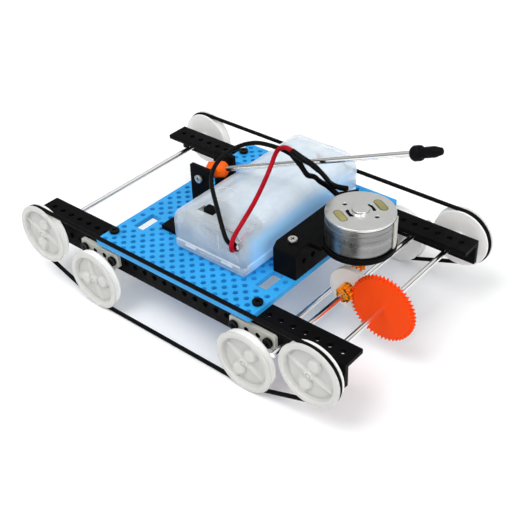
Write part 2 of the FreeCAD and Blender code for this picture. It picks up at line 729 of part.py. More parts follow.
DRIVE_SHIFT = 0.4
SPUR_BACKLASH = 0.10
half_tooth = Rotation(Vector(0, 0, 1), 180 / round(number_of(lay_teeth)))
gear("drive_gear", drive_teeth, -DRIVE_SHIFT, gear_module, SPUR_BACKLASH, axle_dia, gear_width,
     (axle_dia * 1.3, gear_width + 1), (end_axle, drive_gear_side, high_axle_z), ALONG_Y)
gear("lay_pinion", lay_teeth, DRIVE_SHIFT, gear_module, SPUR_BACKLASH, axle_dia, pinion_width,
     None, (layshaft_out, lay_pinion_side, high_axle_z), ALONG_Y * half_tooth)
pinion_half_tooth = Rotation(Vector(0, 0, 1), -90 + 180 / round(number_of(motor_teeth)))
pinion_low = high_axle_z + crown_inner - 1.05
gear("motor_pinion", motor_teeth, 0.0, crown_module, 0.12, motor_shaft_dia, motor_pinion_length,
     None, (layshaft_out, 0, pinion_low), pinion_half_tooth)


def crown():
    """The crown gear: a disc with a hub and a ring of upright teeth that face the motor pinion."""
    body = body_for("crown_gear")
    tan = math.tan(PRESSURE_ANGLE)
    pitch_line = -motor_pitch_radius - crown_side
    tip = pitch_line + crown_module / 2
    face = pitch_line - crown_module * 2.2
    half_pitch_tooth = crown_module * 0.43
    disc = sketch_on(body, "XZ_Plane", "crown_disc")
    circle(disc, 0, 0, crown_outer)
    circle(disc, 0, 0, axle_dia / 2)
    pad(body, disc, face, "crown_disc_pad", backwards=True)
    hub = sketch_on(body, "XZ_Plane", "crown_hub")
    circle(hub, 0, 0, axle_dia * 1.3)
    circle(hub, 0, 0, axle_dia / 2)
    pad(body, hub, tip, "crown_hub_pad", backwards=True)
    tooth = sketch_on(body, "XY_Plane", "crown_tooth", crown_inner)
    half_tip = half_pitch_tooth - (tip - pitch_line) * tan
    half_foot = half_pitch_tooth + (pitch_line - face) * tan
    foot = face * 0.6
    outline(tooth, [(-half_foot, foot), (half_foot, foot), (half_foot, face), (half_tip, tip),
                    (-half_tip, tip), (-half_foot, face)])
    tooth_pad = pad(body, tooth, crown_outer - crown_inner, "crown_tooth_pad")
    ring = body.newObject("PartDesign::PolarPattern", "crown_teeth_ring")
    ring.Originals = [tooth_pad]
    ring.Axis = (plane_of(body, "Y_Axis"), [""])
    ring.Angle = 360
    bind(ring, "Occurrences", crown_teeth)
    body.Tip = ring
    place(body, layshaft_out, crown_side, high_axle_z)


crown()


# ---------------------------------------------------------------- motor and its holder

def motor_holder():
    """The motor holder: a cross block with bevelled ends, joined by a web to the motor ring."""
    block = box("holder_block", (holder_rear, -holder_width / 2, deck_top),
                (holder_depth, holder_width, holder_height))
    slope = holder_bevel * math.sqrt(2)
    bevels = [box(f"holder_bevel_{side + 1}", (holder_rear, side * holder_width / 2, holder_top - holder_bevel),
                  (holder_depth, slope, slope), HALF_SQUARE) for side in (-1, 1)]
    ring = cylinder("holder_ring", ring_dia / 2, ring_thick, (layshaft_out, 0, ring_bottom))
    web = box("holder_web", (holder_front - 1, -holder_width * 0.3, ring_bottom),
              (pitch + 1, holder_width * 0.6, ring_thick))
    rib = box("holder_rib", (holder_front - 1, -base_thick / 2, ring_bottom - 4),
              (pitch * 0.8 + 1, base_thick, 4))
    solid = fuse("holder_solid", block, ring, web, rib)
    tools = bevels + [
             cylinder("holder_seat", can_dia / 2 + running_gap, can_seat, (layshaft_out, 0, can_bottom)),
             cylinder("holder_eye", motor_pitch_radius * 2, ring_thick, (layshaft_out, 0, ring_bottom))]
    for side in (-1, 1):
        tools.append(cylinder(f"holder_bolt_{side + 1}", rail_hole / 2, holder_height,
                              (holder_screw_out, side * holder_screw_side, deck_top)))
        for step in (0, 1):
            tools.append(cylinder(f"holder_side_{side + 1}_{step}", rail_hole / 2, holder_depth / 4,
                                  (holder_front - holder_depth / 4,
                                   side * (holder_screw_side - step * pitch), holder_top - holder_height / 2),
                                  ALONG_X))
    return cut("holder_cut", solid, *tools)


keep(motor_holder(), "motor_holder")


def at_motor(radius, angle):
    """A point round the motor's axis, its angle measured from straight ahead."""
    return (layshaft_out + radius * math.cos(math.radians(angle)), radius * math.sin(math.radians(angle)))


def round_slot(name, radius, angle, length, width, low, height):
    """A round-ended slot lying square to the line from the motor's axis."""
    turn = Rotation(Vector(0, 0, 1), angle)
    across = turn.multVec(Vector(0, 1, 0))
    corner = turn.multVec(Vector(-number_of(width) / 2, -number_of(length) / 2, 0))
    x, y = at_motor(radius, angle)
    parts = [box(name + "_middle", (x + corner.x, y + corner.y, low), (width, length, height), turn)]
    for sign in (-1, 1):
        end = (x + across.x * sign * length / 2, y + across.y * sign * length / 2, low)
        parts.append(cylinder(f"{name}_end_{sign + 1}", width / 2, height, end))
    return fuse(name, *parts)


CAP_THICK = 1.0
CAP_TURN = 60
cap_bottom = can_top - CAP_THICK
can_inner = can_dia / 2 - can_wall
shaft_bore = motor_shaft_dia / 2 + running_gap
bush_radius = motor_shaft_dia


def motor_can():
    """The motor's steel can: a cup, open at the top, with the front bush's hole in its floor."""
    outer = cylinder("can_outer", can_dia / 2, can_height - CAP_THICK, (layshaft_out, 0, can_bottom))
    hollow = cylinder("can_hollow", can_inner, can_height, (layshaft_out, 0, can_bottom + can_wall))
    eye = cylinder("can_eye", bush_radius, can_wall, (layshaft_out, 0, can_bottom))
    return cut("can_cut", outer, hollow, eye)


def motor_cap():
    """The motor's end cap: a disc with a bearing boss, two windows, two slots and two holes."""
    disc = cylinder("cap_disc", can_dia / 2, CAP_THICK, (layshaft_out, 0, cap_bottom))
    boss = cylinder("cap_boss", can_dia / 8, CAP_THICK, (layshaft_out, 0, can_top))
    bearing = cylinder("cap_bearing", bush_radius, CAP_THICK * 1.3, (layshaft_out, 0, cap_bottom))
    tools = [bearing]
    for turn in (0, 180):
        angle = CAP_TURN + turn
        tools.append(round_slot(f"cap_window_{turn}", can_dia * 0.31, angle, can_dia * 0.14,
                                can_dia * 0.11, cap_bottom, CAP_THICK))
        tools.append(round_slot(f"cap_slot_{turn}", can_dia * 0.185, angle, can_dia * 0.13,
                                can_dia * 0.035, cap_bottom, CAP_THICK))
        x, y = at_motor(can_dia * 0.27, turn)
        tools.append(cylinder(f"cap_hole_{turn}", can_dia * 0.03, CAP_THICK, (x, y, cap_bottom)))
    return cut("cap_cut", fuse("cap_solid", disc, boss), *tools)


keep(motor_can(), "motor_can")
keep(motor_cap(), "motor_cap")


def bush(name, low, length):
    outer = cylinder(name + "_outer", bush_radius, length, (layshaft_out, 0, low))
    return cut(name, outer, cylinder(name + "_bore", shaft_bore, length, (layshaft_out, 0, low)))


keep(group("motor_bush_pair", [bush("front_bush", can_bottom, can_wall),
                               bush("rear_bush", cap_bottom, CAP_THICK * 1.3)]), "motor_bushes")
shaft_top = cap_bottom + CAP_THICK * 1.2
keep(cylinder("motor_shaft", motor_shaft_dia / 2, shaft_top - pinion_low, (layshaft_out, 0, pinion_low)),
     "motor_shaft")

magnet_thick = can_dia / 14
rotor_low = can_bottom + can_height * 0.22
rotor_height = can_height * 0.42
rotor_radius = can_inner - magnet_thick - 0.4


def magnets():
    """Two curved magnets against the can's wall."""
    height = rotor_height + 1
    ring = cut("magnet_ring", cylinder("magnet_outer", can_inner, height, (layshaft_out, 0, rotor_low - 0.5)),
               cylinder("magnet_inner", can_inner - magnet_thick, height, (layshaft_out, 0, rotor_low - 0.5)))
    gap = can_dia * 0.32
    slab = box("magnet_gap", (layshaft_out - can_dia / 2, -gap / 2, rotor_low - 0.5), (can_dia, gap, height))
    return cut("magnet_pair", ring, slab)


keep(magnets(), "motor_magnets")


def rotor():
    """A three-pole laminated core on the shaft."""
    shaft = (layshaft_out, 0, rotor_low)
    parts = [cylinder("rotor_hub", rotor_radius * 0.32, rotor_height, shaft)]
    arm = rotor_radius * 0.24
    for number in range(3):
        turn = Rotation(Vector(0, 0, 1), 120 * number)
        corner = turn.multVec(Vector(0, -number_of(arm) / 2, 0))
        spot = (layshaft_out + corner.x, corner.y, rotor_low)
        parts.append(box(f"rotor_arm_{number}", spot, (rotor_radius * 0.94, arm, rotor_height), turn))
    rim = cylinder("rotor_rim", rotor_radius, rotor_height, shaft)
    rim_hollow = cylinder("rotor_rim_hollow", rotor_radius * 0.84, rotor_height, shaft)
    gaps = []
    for number in range(3):
        turn = Rotation(Vector(0, 0, 1), 60 + 120 * number)
        corner = turn.multVec(Vector(0, -number_of(arm) / 2, 0))
        spot = (layshaft_out + corner.x, corner.y, rotor_low)
        gaps.append(box(f"rotor_gap_{number}", spot, (rotor_radius * 1.1, arm, rotor_height), turn))
    parts.append(cut("rotor_shoes", rim, rim_hollow, *gaps))
    bore = cylinder("rotor_bore", motor_shaft_dia / 2, rotor_height, shaft)
    return cut("rotor_cut", fuse("rotor_solid", *parts), bore)


keep(rotor(), "rotor_core")


def windings():
    """A copper coil wound round each of the three poles, as closed blocks beside the arms."""
    coils = []
    arm = rotor_radius * 0.24
    thick = rotor_radius * 0.14
    for number in range(3):
        turn = Rotation(Vector(0, 0, 1), 120 * number)
        near = rotor_radius * 0.42
        corner = turn.multVec(Vector(number_of(near), -number_of(arm / 2 + thick), 0))
        spot = (layshaft_out + corner.x, corner.y, rotor_low - 0.6)
        outer = box(f"coil_outer_{number}", spot,
                    (rotor_radius * 0.36, arm + 2 * thick, rotor_height + 1.2), turn)
        corner = turn.multVec(Vector(0, -number_of(arm) / 2, 0))
        spot = (layshaft_out + corner.x, corner.y, rotor_low)
        core = box(f"coil_core_{number}", spot, (rotor_radius, arm, rotor_height), turn)
        coils.append(cut(f"coil_{number}", outer, core))
    return group("winding_set", coils)


keep(windings(), "rotor_windings")
commutator_low = rotor_low + rotor_height + 0.8
commutator_radius = motor_shaft_dia * 1.2
commutator_high = cap_bottom - 0.6
commutator = cut("commutator_cut",
                 cylinder("commutator_outer", commutator_radius, commutator_high - commutator_low,
                          (layshaft_out, 0, commutator_low)),
                 cylinder("commutator_bore", motor_shaft_dia / 2, commutator_high - commutator_low,
                          (layshaft_out, 0, commutator_low)))
keep(commutator, "commutator")


def brushes():
    """Two leaf brushes that hang from the cap and stand beside the commutator."""
    leaves = []
    reach = commutator_radius + running_gap * 2
    for sign in (-1, 1):
        start = reach if sign > 0 else -reach - 0.4
        leaf = box(f"brush_leaf_{sign + 1}", (layshaft_out - 1.5, start, commutator_low + 0.4),
                   (3, 0.4, cap_bottom - commutator_low - 0.4))
        foot_start = reach if sign > 0 else -reach - 3
        foot = box(f"brush_foot_{sign + 1}", (layshaft_out - 1.5, foot_start, cap_bottom - 0.4), (3, 3, 0.4))
        leaves.append(fuse(f"brush_{sign + 1}", leaf, foot))
    return group("brush_pair", leaves)


keep(brushes(), "motor_brushes")

TERMINAL_ANGLE = 144
terminal_turn = Rotation(Vector(0, 0, 1), TERMINAL_ANGLE)
terminal_reach = can_dia / 2 + 2


def beside_can(radius, shift):
    """A point at a radius on the terminal's side of the can, moved sideways by shift."""
    spot = terminal_turn.multVec(Vector(1, 0, 0))
    side = terminal_turn.multVec(Vector(0, 1, 0))
    return (layshaft_out + radius * spot.x + shift * side.x, radius * spot.y + shift * side.y)


# Free ends of the two sleeves, as distance from the motor's axis, sideways shift and height.
sleeve_ends = {"sleeve_front": (16.6, 2.2, 49.2), "sleeve_rear": (16.6, -0.8, 51.6)}
tag_reach = 2.4


def terminals():
    """A small block on the can's side with two flat tags that reach into the sleeves."""
    block = box("terminal_body", (*beside_can(can_dia / 2 - 1, -4), can_top - 5.6), (3, 8, 5), terminal_turn)
    rounding = cylinder("terminal_seat", can_dia / 2, can_height, (layshaft_out, 0, can_bottom))
    return cut("terminal_cut", block, rounding)


def tags():
    items = []
    for label, (_, shift, height) in sleeve_ends.items():
        corner = (*beside_can(terminal_reach, shift - 0.6), height - 0.2)
        items.append(box(label + "_tag", corner, (tag_reach, 1.2, 0.4), terminal_turn))
    return group("tag_pair", items)


keep(terminals(), "terminal_block")
keep(tags(), "terminal_tags")


def strip():
    """A light ribbed strip on the can's side."""
    outer = cylinder("strip_outer", can_dia / 2 + 0.5, can_height * 0.84, (layshaft_out, 0, holder_top))
    inner = cylinder("strip_inner", can_dia / 2, can_height * 0.84, (layshaft_out, 0, holder_top))
    shell = cut("strip_shell", outer, inner)
    turn = Rotation(Vector(0, 0, 1), 20)
    corner = turn.multVec(Vector(8, -2.2, 0))
    slab = box("strip_slab", (layshaft_out + corner.x, corner.y, holder_top), (8, 4.4, can_height), turn)
    return common("strip_common", shell, slab)


keep(strip(), "can_strip")

for side in (-1, 1):
    spot = (holder_screw_out, side * holder_screw_side)
    length = holder_height + deck_thick + nut_thick + 0.6
    bright_screws.append(cross_screw(f"holder_screw_{side + 1}", screw_head / 2, length,
                                     (*spot, holder_top), DOWN))
    nuts.append(nut(f"holder_nut_{side + 1}", (*spot, rail_top - nut_thick), UPRIGHT))


# ---------------------------------------------------------------- battery box

def cover(name, inset, low, high):
    """A block whose long top edges are rounded, inset from the lid's outside."""
    radius = box_round - inset
    rear = box_rear + inset
    near = box_near + inset
    length = box_length - 2 * inset
    width = box_width - 2 * inset
    return fuse(name, box(name + "_low", (rear, near, low), (width, length, high - radius - low)),
                box(name + "_high", (rear + radius, near, low), (width - 2 * radius, length, high - low)),
                cylinder(name + "_edge_rear", radius, length, (rear + radius, near, high - radius), ALONG_Y),
                cylinder(name + "_edge_front", radius, length,
                         (rear + width - radius, near, high - radius), ALONG_Y))


switch_out = box_rear + 14.5
switch_side = box_near + switch_near
lead_hole_out = box_front - 3.8
lead_hole_z = tray_top + 8.1
slot_extra = 0.6


def battery_lid():
    """The clear lid: a thin shell with a slot for the switch knob and a hole for the leads."""
    outer = cover("lid_outer", 0, tray_top, lid_top)
    inner = cover("lid_inner", box_wall, tray_top, lid_top - box_wall)
    slot = box("lid_slot", (switch_out - knob_length / 2 - knob_travel - slot_extra / 2,
                            switch_side - knob_width / 2 - slot_extra / 2, lid_top - 2 * box_wall),
               (knob_length + knob_travel + slot_extra, knob_width + slot_extra, 3 * box_wall))
    hole = cylinder("lid_hole", lead_hole / 2, 2 * box_wall,
                    (lead_hole_out, box_near - box_wall / 2, lead_hole_z), ALONG_Y)
    return cut("lid_cut", outer, inner, slot, hole)


far_contact = box_far - box_wall - contact_thick
near_contact = far_contact - cell_length - spring_depth
partition = near_contact - contact_thick
cell_z = deck_top + box_wall + cell_gap + cell_dia / 2
box_middle = box_rear + box_width / 2
cell_step = cell_dia / 2 + cell_gap / 2
tag_z = cell_z + 2.4


def battery_tray():
    """The clear tray: floor, low walls and the partition that the near contacts lean on."""
    outer = box("tray_outer", (box_rear, box_near, deck_top), (box_width, box_length, tray_height))
    inner = box("tray_inner", (box_rear + box_wall, box_near + box_wall, deck_top + box_wall),
                (box_width - 2 * box_wall, box_length - 2 * box_wall, tray_height))
    wall = box("tray_partition", (box_rear + box_wall, partition - box_wall, deck_top),
               (box_width - 2 * box_wall, box_wall, box_height - box_round))
    passage = box("tray_passage", (box_middle + cell_step + 1.4, partition - 2 * box_wall, tag_z - 0.5),
                  (2.2, 3 * box_wall, box_round))
    return cut("tray_cut", fuse("tray_solid", cut("tray_shell", outer, inner), wall), passage)


keep(battery_tray(), "battery_tray")
keep(battery_lid(), "battery_lid")

NUB_LENGTH = 1.0
for label, sign in (("battery_cell_rear", -1), ("battery_cell_front", 1)):
    x = box_middle + sign * cell_step
    body_start = near_contact + spring_depth if sign < 0 else near_contact + NUB_LENGTH
    nub_start = far_contact - NUB_LENGTH if sign < 0 else near_contact
    can = cylinder(label + "_can", cell_dia / 2, cell_length - NUB_LENGTH, (x, body_start, cell_z), ALONG_Y)
    nub = cylinder(label + "_nub", cell_dia * 0.19, NUB_LENGTH, (x, nub_start, cell_z), ALONG_Y)
    keep(fuse(label + "_solid", can, nub), label)

plate_side = cell_dia * 0.62
bridge = box("contact_bridge", (box_middle - cell_step - plate_side / 2, far_contact, cell_z - plate_side / 2),
             (2 * cell_step + plate_side, contact_thick, plate_side))
near_plates = [box(f"contact_near_{sign + 1}",
                   (box_middle + sign * cell_step - plate_side / 2, partition, cell_z - plate_side / 2),
                   (plate_side, contact_thick, plate_side)) for sign in (-1, 1)]
tag = box("contact_tag", (box_middle + cell_step + 1.6, partition - 2.8, tag_z - 0.2), (1.8, 2.9, 0.4))
keep(group("contact_plate_set", [bridge, near_plates[0], fuse("contact_tagged", near_plates[1], tag)]),
     "contact_plates")


def spring(name, x, start, direction):
    """A pressed conical spring: three touching coils that shrink towards the cell."""
    wire = spring_depth / 5
    rings = []
    for number in range(3):
        ring = doc.addObject("Part::Torus", f"{name}_coil_{number}")
        bind(ring, "Radius1", cell_dia * (0.27 - 0.042 * number))
        bind(ring, "Radius2", wire)
        y = start + direction * (wire + number * (spring_depth - 2 * wire) / 2)
        rings.append(place(ring, x, y, cell_z, ALONG_Y))
    return fuse(name, *rings)


keep(group("contact_spring_pair",
           [spring("near_spring", box_middle - cell_step, near_contact, 1),
            spring("far_spring", box_middle + cell_step, far_contact, -1)]), "contact_springs")

switch_base = lid_top - box_wall
switch_case = box("switch_case", (switch_out - 6, switch_side - 3, switch_base - 5.4), (12, 6, 5.4))
switch_tag = box("switch_tag", (switch_out + 6, switch_side - 0.8, switch_base - 4.4), (1, 1.6, 0.8))
keep(fuse("switch_solid", switch_case, switch_tag), "switch_body")
knob_low = switch_base + running_gap
keep(box("switch_knob", (switch_out - knob_length / 2, switch_side - knob_width / 2, knob_low),
         (knob_length, knob_width, box_wall + knob_stand - running_gap)), "switch_knob")


# ---------------------------------------------------------------- gun

bracket_floor_top = base_top + base_thick


def gun_base():
    solid = box("base_strip", (bracket_out - base_width / 2, base_near, deck_top),
                (base_width, base_length, base_thick))
    holes = [cylinder(f"base_hole_{index}", rail_hole / 2, base_thick, (bracket_out, side, deck_top))
             for index, side in enumerate(base_screw_sides)]
    return cut("base_cut", solid, *holes)


def gun_bracket():
    """The bracket: a channel whose two cheeks carry the pivot screw."""
    rear = bracket_out - base_width / 2
    floor = box("bracket_floor", (rear, -bracket_width / 2, base_top), (base_width, bracket_width, base_thick))
    cheeks = [box(f"bracket_cheek_{index}", (rear, side, base_top), (base_width, base_thick, bracket_top))
              for index, side in enumerate((-bracket_width / 2, bracket_width / 2 - base_thick))]
    pivot = cylinder("bracket_pivot", screw_shank / 2 + running_gap, bracket_width + 2,
                     (bracket_out, -bracket_width / 2 - 1, pivot_z), ALONG_Y)
    bolt = cylinder("bracket_bolt", rail_hole / 2, base_thick, (bracket_out, 0, base_top))
    return cut("bracket_cut", fuse("bracket_solid", floor, *cheeks), pivot, bolt)


keep(gun_base(), "gun_base")
keep(gun_bracket(), "gun_bracket")
for index, (side, seat) in enumerate(zip(base_screw_sides, (base_top, bracket_floor_top))):
    length = seat - rail_top + nut_thick + 0.6
    bright_screws.append(cross_screw(f"base_screw_{index}", screw_head / 2, length,
                                     (bracket_out, side, seat), DOWN))
    nuts.append(nut(f"base_nut_{index}", (bracket_out, side, rail_top - nut_thick), UPRIGHT))
keep(group("bright_screw_set", bright_screws), "bright_screws")
keep(cross_screw("pivot_screw", screw_head * 0.42, bracket_width + nut_thick + 0.6,
                 (bracket_out, -bracket_width / 2, pivot_z), ALONG_Y), "gun_pivot_screw")
nuts.append(nut("pivot_nut", (bracket_out, bracket_width / 2, pivot_z), ALONG_Y))
keep(group("nut_set", nuts), "nuts")

tilt = math.radians(number_of(barrel_tilt))
aim = Rotation(Vector(0, 1, 0), 90 - number_of(barrel_tilt))


def on_barrel(distance):
    """A point on the barrel's axis, at a distance from the pivot."""
    return (bracket_out + distance * math.cos(tilt), 0, pivot_z + distance * math.sin(tilt))


def gun_bush():
    """The bush between the cheeks: a hexagonal bar with a tapered nose that grips the barrel."""
    length = bush_back + bush_front
    bar = prism("bush_bar", bush_flats, length, on_barrel(-bush_back), aim)
    shank = cylinder("bush_shank", bush_flats, length - bush_nose, on_barrel(-bush_back), aim)
    nose = cone("bush_taper", bush_flats * 0.58, barrel_dia * 0.85, bush_nose,
                on_barrel(bush_front - bush_nose), aim)
    blank = common("bush_blank", bar, fuse("bush_turned", shank, nose))
    pivot = cylinder("bush_pivot", screw_shank / 2 + running_gap, bracket_width,
                     (bracket_out, -bracket_width / 2, pivot_z), ALONG_Y)
    socket = cylinder("bush_socket", barrel_dia / 2, length, on_barrel(barrel_start), aim)
    return cut("bush_cut", blank, pivot, socket)


keep(gun_bush(), "gun_bush")
keep(cylinder("gun_barrel", barrel_dia / 2, barrel_reach - barrel_start, on_barrel(barrel_start), aim),
     "gun_barrel")


def muzzle():
    """The rubber muzzle: a collar and a slimmer body with a tapered nose, pushed on the rod."""
    start = barrel_reach + muzzle_stand - muzzle_length
    body_radius = barrel_dia * 0.9
    collar = cylinder("muzzle_collar", barrel_dia * 1.25, muzzle_collar, on_barrel(start), aim)
    body = cylinder("muzzle_body", body_radius, muzzle_length - muzzle_nose, on_barrel(start), aim)
    nose = cone("muzzle_nose", body_radius, barrel_dia * 0.55, muzzle_nose,
                on_barrel(start + muzzle_length - muzzle_nose), aim)
    rod = cylinder("muzzle_rod", barrel_dia / 2, barrel_reach, on_barrel(0), aim)
    return cut("muzzle_cut", fuse("muzzle_solid", collar, body, nose), rod)


keep(muzzle(), "gun_muzzle")


# ---------------------------------------------------------------- leads and sleeves

def tube(label, diameter, route):
    """A cord's tube: straight runs joined by the largest tangent arcs the runs allow."""
    spots = [Vector(*spot) for spot in route]
    radius = number_of(diameter) / 2
    edges = []
    radii = []
    start = spots[0]
    for before, corner, after in zip(spots, spots[1:], spots[2:]):
        arriving = (corner - before).normalize()
        leaving = (after - corner).normalize()
        turn = arriving.getAngle(leaving)
        reach = 0.45 * min((corner - before).Length, (after - corner).Length)
        radii.append(reach / math.tan(turn / 2))
        entry = corner - arriving * reach
        exit_spot = corner + leaving * reach
        inward = (leaving - arriving).normalize()
        middle = corner + inward * (radii[-1] / math.cos(turn / 2) - radii[-1])
        edges.append(Part.LineSegment(start, entry).toShape())
        edges.append(Part.Arc(entry, middle, exit_spot).toShape())
        start = exit_spot
    edges.append(Part.LineSegment(start, spots[-1]).toShape())
    path = Part.Wire(edges)
    section = Part.Wire([Part.makeCircle(radius, spots[0], spots[1] - spots[0])])
    item = doc.addObject("Part::Feature", label)
    item.Shape = path.makePipeShell([section], True, True)
    expected = math.pi * radius ** 2 * path.Length
    print(f"{label}: length {path.Length:.2f}, volume {item.Shape.Volume:.2f} of {expected:.2f}, "
          f"radii {' '.join(f'{value:.1f}' for value in radii)}")
    return keep(item, label)


def sleeve_end(label):
    radius, shift, height = sleeve_ends[label]
    x, y = beside_can(radius, shift)
    return (number_of(x), number_of(y), height)


BLACK_ROUTE = [(11.0, -25.0, 42.6), (14.6, -25.4, 42.8), (17.6, -27.4, 42.9), (19.2, -30.4, 43.1),
               (19.5, -33.3, 44.8), (18.8, -34.4, 48.2), (15.0, -32.0, 51.6), (10.0, -28.0, 53.0),
               (5.0, -24.0, 53.8), (-0.3, -19.6, 55.4), (-2.9, -15.4, 57.8), (-3.4, -10.6, 59.9),
               (-1.8, -6.2, 61.9), (2.4, -3.8, 64.4), (7.4, -3.0, 66.3), (12.2, -3.0, 67.1),
               (16.8, -3.0, 66.9), (20.6, -3.4, 66.5), (23.2, -3.7, 65.8)]
RED_ROUTE = [(16.0, -20.0, 40.4), (17.0, -23.6, 40.4), (18.4, -27.2, 40.6), (19.3, -30.6, 40.8),
             (20.4, -33.4, 42.4), (21.2, -34.2, 45.4), (21.6, -33.2, 48.6), (21.9, -28.6, 52.2),
             (20.6, -20.4, 55.6), (18.4, -12.0, 59.4), (17.6, -7.4, 63.1), (17.7, -5.7, 66.2),
             (18.8, -4.7, 68.6), (21.0, -4.2, 69.6), (23.1, -4.0, 69.4), (25.0, -3.9, 68.4)]
FRONT_SLEEVE_ROUTE = [(23.2, -3.7, 65.8), (26.0, -3.6, 64.3), (28.0, -2.6, 61.8), (29.4, -0.6, 59.4),
                      (30.7, 1.8, 56.8), (32.0, 4.2, 53.9), (33.4, 6.3, 51.2), sleeve_end("sleeve_front")]
REAR_SLEEVE_ROUTE = [(25.0, -3.9, 68.4), (28.4, -4.3, 67.7), (31.4, -4.4, 66.4), (33.6, -3.6, 64.3),
                     (34.6, -1.6, 61.9), (35.0, 1.4, 59.1), (35.4, 4.7, 56.0), (36.0, 7.7, 53.2),
                     sleeve_end("sleeve_rear")]
tube("lead_black", lead_dia, BLACK_ROUTE)
tube("lead_red", lead_dia, RED_ROUTE)
tube("sleeve_front", sleeve_dia, FRONT_SLEEVE_ROUTE)
tube("sleeve_rear", sleeve_dia, REAR_SLEEVE_ROUTE)


# ---------------------------------------------------------------- checks and files

doc.recompute()
for item in doc.Objects:
    if "Invalid" in item.State or "Error" in item.State:
        raise RuntimeError(f"{item.Name} ({item.Label}) failed: {item.State}")
labels = [item.Label for item in nodes]
if len(set(labels)) != len(labels):
    raise RuntimeError("two sub-parts share a label")
for item in nodes:
    if item.Shape.isNull() or not item.Shape.isValid() or not item.Shape.Solids:
        raise RuntimeError(f"{item.Label} has no valid solid")
os.makedirs("parts", exist_ok=True)
for item in nodes:
    item.Shape.exportStep(f"parts/{item.Label}.step")
print(f"{len(nodes)} sub-parts written")
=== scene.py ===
"""Looks of the tracked kit car: rounded skins on the construction, procedural finishes, the two
leads with their sleeves, a plain stage and the camera. Lengths on the car are written in
millimetres and turned to metres by MM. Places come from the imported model's own nodes and joints,
but for the camera, the lights and the leads' routes, which are written out."""

import json
import math

import bmesh
import bpy
from mathutils import Matrix, Vector

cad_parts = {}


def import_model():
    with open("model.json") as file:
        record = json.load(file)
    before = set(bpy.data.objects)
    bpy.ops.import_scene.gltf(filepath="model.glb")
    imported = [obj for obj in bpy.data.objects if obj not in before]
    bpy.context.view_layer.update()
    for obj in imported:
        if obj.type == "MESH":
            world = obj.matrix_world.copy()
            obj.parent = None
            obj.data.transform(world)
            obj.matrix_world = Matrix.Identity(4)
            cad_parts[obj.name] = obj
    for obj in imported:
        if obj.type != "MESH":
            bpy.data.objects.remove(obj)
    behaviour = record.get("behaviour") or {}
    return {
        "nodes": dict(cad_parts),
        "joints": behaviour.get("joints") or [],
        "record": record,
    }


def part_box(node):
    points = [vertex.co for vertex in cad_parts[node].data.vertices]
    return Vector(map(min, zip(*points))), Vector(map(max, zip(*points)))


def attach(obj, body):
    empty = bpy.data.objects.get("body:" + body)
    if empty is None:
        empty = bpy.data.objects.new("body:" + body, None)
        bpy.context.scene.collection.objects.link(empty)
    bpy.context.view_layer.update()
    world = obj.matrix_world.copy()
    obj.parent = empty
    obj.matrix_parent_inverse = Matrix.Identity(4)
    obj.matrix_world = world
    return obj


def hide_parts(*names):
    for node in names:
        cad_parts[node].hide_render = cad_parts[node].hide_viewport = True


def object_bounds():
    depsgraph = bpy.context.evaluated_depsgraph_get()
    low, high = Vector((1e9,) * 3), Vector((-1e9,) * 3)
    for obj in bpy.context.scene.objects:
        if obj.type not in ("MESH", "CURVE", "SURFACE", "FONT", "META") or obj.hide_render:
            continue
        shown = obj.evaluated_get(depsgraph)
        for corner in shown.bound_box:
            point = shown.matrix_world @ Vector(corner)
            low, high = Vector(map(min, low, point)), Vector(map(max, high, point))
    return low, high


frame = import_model()
cad_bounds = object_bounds()

MM = 0.001
scene = bpy.context.scene
bodies = frame["record"]["behaviour"]["bodies"]
body_of_node = {node: body for body, nodes in bodies.items() for node in nodes}
slot_of_node = {part["node"]: part["material_slot"] for part in frame["record"]["subparts"]}


# ---------------------------------------------------------------- camera

# The place and lens were fitted to the rails' holes, as the photograph shows them.
camera = bpy.data.objects.new("camera", bpy.data.cameras.new("camera"))
scene.collection.objects.link(camera)
scene.camera = camera
camera.data.lens = 64.83
camera.data.sensor_width = 36
camera.location = Vector((193.3, -219.35, 224.9)) * MM
camera.rotation_euler = [math.radians(angle) for angle in (53.893, 1.783, 39.734)]
camera.data.clip_start, camera.data.clip_end = 0.01, 20


# ---------------------------------------------------------------- materials

NOISE_RANGE = (0.3, 0.7)
TINT_STOPS = (0.32, 0.68)


